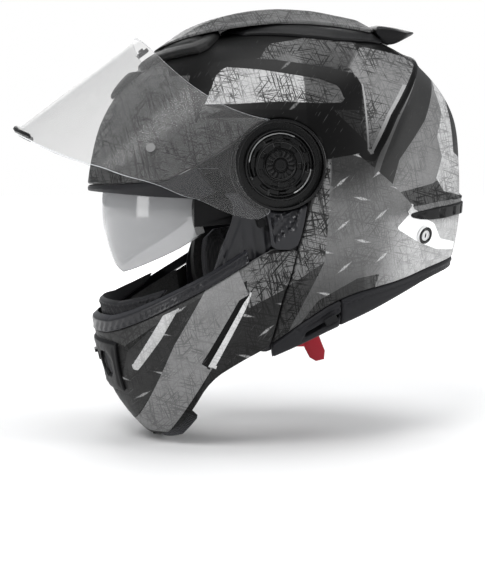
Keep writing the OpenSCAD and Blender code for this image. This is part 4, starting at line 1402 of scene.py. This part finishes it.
def make_foam():
    liner = [(-FAR, FAR), (-FAR, -7), (-58, -7), (-44, -38), (30, -61), (100, -73), (150, -60), (FAR, -50),
             (FAR, FAR)]

    def pocket(p):
        return np.maximum(circle_field(p, 54), circle_field(p, 46, SUN_AXIS))

    def sun_side(p):
        """Positive where the sun visor's sides swing past."""
        swing = np.degrees(np.arctan2(0.9 * p[:, 2] - SUN_AXIS[1], SUN_AXIS[0] - 0.9 * p[:, 1]))
        return np.minimum(np.minimum(swing + 36, 64 - swing), 0.75 * np.abs(p[:, 0]) - 60)

    def sunk(p, d):
        """Room ahead of the foam for the sun visor to swing up into."""
        reach = outline_at(np.degrees(np.arctan2(p[:, 2], p[:, 1])) % 360)
        share = np.full(len(p), 0.85)
        for _ in range(8):
            x, forward, up = share * np.abs(p[:, 0]), SUN_AXIS[0] - share * p[:, 1], share * p[:,
                    2] - SUN_AXIS[1]
            curve = np.maximum(0, 1 - (x / (SUN_HALF_WIDTH - 6.5)) ** FULLNESS) ** (1 / FULLNESS)
            share = np.clip(share - (np.hypot(forward, up) - (SUN_RADIUS - 6.5) * curve) / reach, 0.6, 1.1)
        return -np.clip((1 - share) * reach - 11.5, 0, 20) * between(np.degrees(np.arctan2(up, forward)), -38,
                68, 4)

    strip("foam_liner_block", liner, "shell", "foam", FOAM, ["foam_liner"], 11.5, 33.8, 4.0, (-76, 192),
          step=1.5,
          relief=sunk, holes=lambda p: np.where(np.abs(p[:, 0]) > 60, np.maximum(pocket(p), sun_side(p)),
                                                NO_HOLE))
    cheeks = smooth_loop([(-46, -66), (-40, -62), (14, -64), (14, -122), (-8, -136), (-40, -126), (-49, -95)],
                         1)

    def bores(p):
        return np.maximum(circle_field(p, 6.5, (-34, -112)), circle_field(p, 6.2, (-2, -66)))

    for name, low, high in SIDES:
        nodes = ["foam_cheeks"] if name == "left" else []
        strip(f"foam_cheek_{name}", cheeks, "shell", "foam", FOAM, nodes, 11.2, 21.4, 2.0, (212, 292),
              (low + 2, high - 2), 1.2, holes=bores)


# ---- the retention strap ----

STRAP_Y, STRAP_WIDE, STRAP_THICK = 28.0, 22.0, 1.9
STRAP_PATH = [(92.6, -76), (87, -90), (75, -106), (56, -117), (34, -123), (8, -125)]


def resampled(points, gap):
    """Points a gap apart along a line."""
    points = np.array(points, float)
    along = np.append(0, np.cumsum(np.linalg.norm(np.diff(points, axis=0), axis=1)))
    at = np.linspace(0, along[-1], max(2, int(round(along[-1] / gap)) + 1))
    return np.column_stack([np.interp(at, along, points[:, k]) for k in range(points.shape[1])])


def webbing_strap(name, path, side_sign, nodes):
    """A woven band with rolled edges that follows a path of (x, z) points."""
    line = resampled(smooth(path, 3), 1.6)
    direction = np.gradient(line, axis=0)
    direction /= np.linalg.norm(direction, axis=1)[:, None]
    normal = np.column_stack((-direction[:, 1], direction[:, 0]))
    across = [(-1, -0.3), (-0.97, -0.9), (-0.9, -1), (-0.6, -0.8), (0, -0.72), (0.6, -0.8), (0.9, -1),
              (0.97, -0.9),
              (1, -0.3), (1, 0.3), (0.97, 0.9), (0.9, 1), (0.6, 0.8), (0, 0.72), (-0.6, 0.8), (-0.9, 1),
              (-0.97, 0.9),
              (-1, 0.3)]
    sections = []
    for k, (point, up) in enumerate(zip(line, normal)):
        weave = 0.06 * math.sin(k * 2.2)
        sections.append(np.array([(side_sign * (point[0] + up[0] * (h * STRAP_THICK / 2 + weave)),
                                   STRAP_Y + w * STRAP_WIDE / 2,
                                   point[1] + up[1] * (h * STRAP_THICK / 2 + weave))
                                  for w, h in across]))
    strap = loft(name, sections, sharp=60)
    dress(strap, "shell", "webbing", WEBBING, replaces=nodes)
    # lockstitches along both edges
    threads = [(line[k], line[k + 1], normal[k], w) for w in (-8.2, 8.2) for k in range(3, len(line) - 4, 3)]
    points, faces = [], []
    for a, b, up, w in threads:
        for face in (1, -1):
            start = len(points)
            for end in (a, b):
                for dy, dh in ((-0.4, 0.3), (0.4, 0.3), (0.4, 0.8), (-0.4, 0.8)):
                    height = face * (STRAP_THICK / 2 * 0.8 + dh)
                    points.append((side_sign * (end[0] + up[0] * height), STRAP_Y + w + dy,
                                   end[1] + up[1] * height))
            s = start
            faces += [[s, s + 1, s + 2, s + 3], [s + 7, s + 6, s + 5, s + 4], [s, s + 4, s + 5, s + 1],
                      [s + 1, s + 5, s + 6, s + 2], [s + 2, s + 6, s + 7, s + 3], [s + 3, s + 7, s + 4, s]]
    stitches = build_mesh(f"{name}_stitches", points, faces)
    dress(stitches, "shell", "webbing", THREAD)


def make_strap():
    webbing_strap("chin_strap_left_band", STRAP_PATH[:5], 1, ["chin_strap_left"])
    webbing_strap("chin_strap_right_band", STRAP_PATH + [(0.6, -125.2)], -1, ["chin_strap_right"])
    # the ribbed pull tab that hangs from the lever
    outline = smooth_loop([(33, -130.5), (47, -132), (57, -157), (44, -160), (36, -145)], 1)
    sections = []
    for k in range(29):
        t = k / 28
        x = 6.6 + 2.6 * t
        inset = 1 - 0.08 * (2 * t - 1) ** 4
        sections.append(np.array([(x + 0.5 * math.sin(1.9 * y) * (1 if t > 0.5 else -1) * (0.2 < t < 0.8),
                                   44 + (y - 44) * inset, -144 + (z + 144) * inset) for y,
                                   z in resampled(outline, 0.5)]))
    tab = loft("red_pull_tab", sections)
    dress(tab, "buckle_release", "red_plastic", RED)


# ---- CAD nodes whose shape is right: a finish, and softened edges ----

def keep(material, bevel, *nodes):
    for name in nodes:
        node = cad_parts[name]
        node.data.materials.clear()
        node.data.materials.append(material)
        weld = node.modifiers.new("weld", "WELD")
        weld.merge_threshold = 1e-5
        edge = node.modifiers.new("soft_edges", "BEVEL")
        edge.width = bevel * MM
        edge.segments = 2
        edge.limit_method = "ANGLE"
        edge.angle_limit = math.radians(34)


make_visor()
make_sun_visor()
make_hub("left", 1)
make_hub("right", -1)
make_plug_rims()
make_lining()
make_foam()
make_strap()
keep(STEEL, 0.35, "latch_pins", "frame_bolts", "buckle_hinge_pin", "sun_visor_pins", "strap_anchors",
     "latch_hooks")
keep(DARK_STEEL, 0.35, "pinlock_pins")
keep(GLOSS_BLACK, 0.35, "hub_screws")
keep(BLACK, 0.5, "hub_base_left", "hub_base_right", "pivot_arm_left", "pivot_arm_right", "brow_vent_slider",
     "sun_visor_arms", "sun_visor_lever", "chin_vent_shutter", "chin_release_button", "ratchet_tongue")
keep(GLOSS_BLACK, 0.4, "visor_ring_left", "visor_ring_right")
keep(GUNMETAL, 0.5, "strap_buckle")
keep(WHITE, 0.4, "rear_plugs")
keep(RED, 0.5, "buckle_lever")


def make_floor():
    """A wide pale sheet under the helmet, slightly uneven in tone."""
    low = cad_box[0][2] / MM - 0.4
    radii, turns = np.geomspace(40, 9000, 24), np.arange(0, 360, 7.5)
    points = [(0, 0, low)] + [(r * math.cos(math.radians(a)), r * math.sin(math.radians(a)), low)
                              for r in radii for a in turns]
    n = len(turns)
    faces = [[0, 1 + k, 1 + (k + 1) % n] for k in range(n)]
    faces += [[1 + s * n + k, 1 + (s + 1) * n + k, 1 + (s + 1) * n + (k + 1) % n, 1 + s * n + (k + 1) % n]
              for s in range(len(radii) - 1) for k in range(n)]
    floor = build_mesh("floor", points, faces)
    paper = Finish("floor_paper", Roughness=0.9, Specular_IOR_Level=0.1)
    paper.colour(paper.mix(paper.noise(paper.place, 3, 3), tinted(0.93), tinted(0.96)))
    # far from the helmet the sheet glows, so that it stays pale out to the horizon
    away = paper.node("ShaderNodeVectorMath", operation="LENGTH")
    paper.link(paper.place, away.inputs[0])
    paper.shader.inputs["Emission Color"].default_value = (1, 1, 1, 1)
    glow = paper.times(paper.step(away.outputs["Value"], 0.45, 2.2), 0.78)
    paper.link(glow, paper.shader.inputs["Emission Strength"])
    floor.data.materials.append(paper.material)


make_floor()
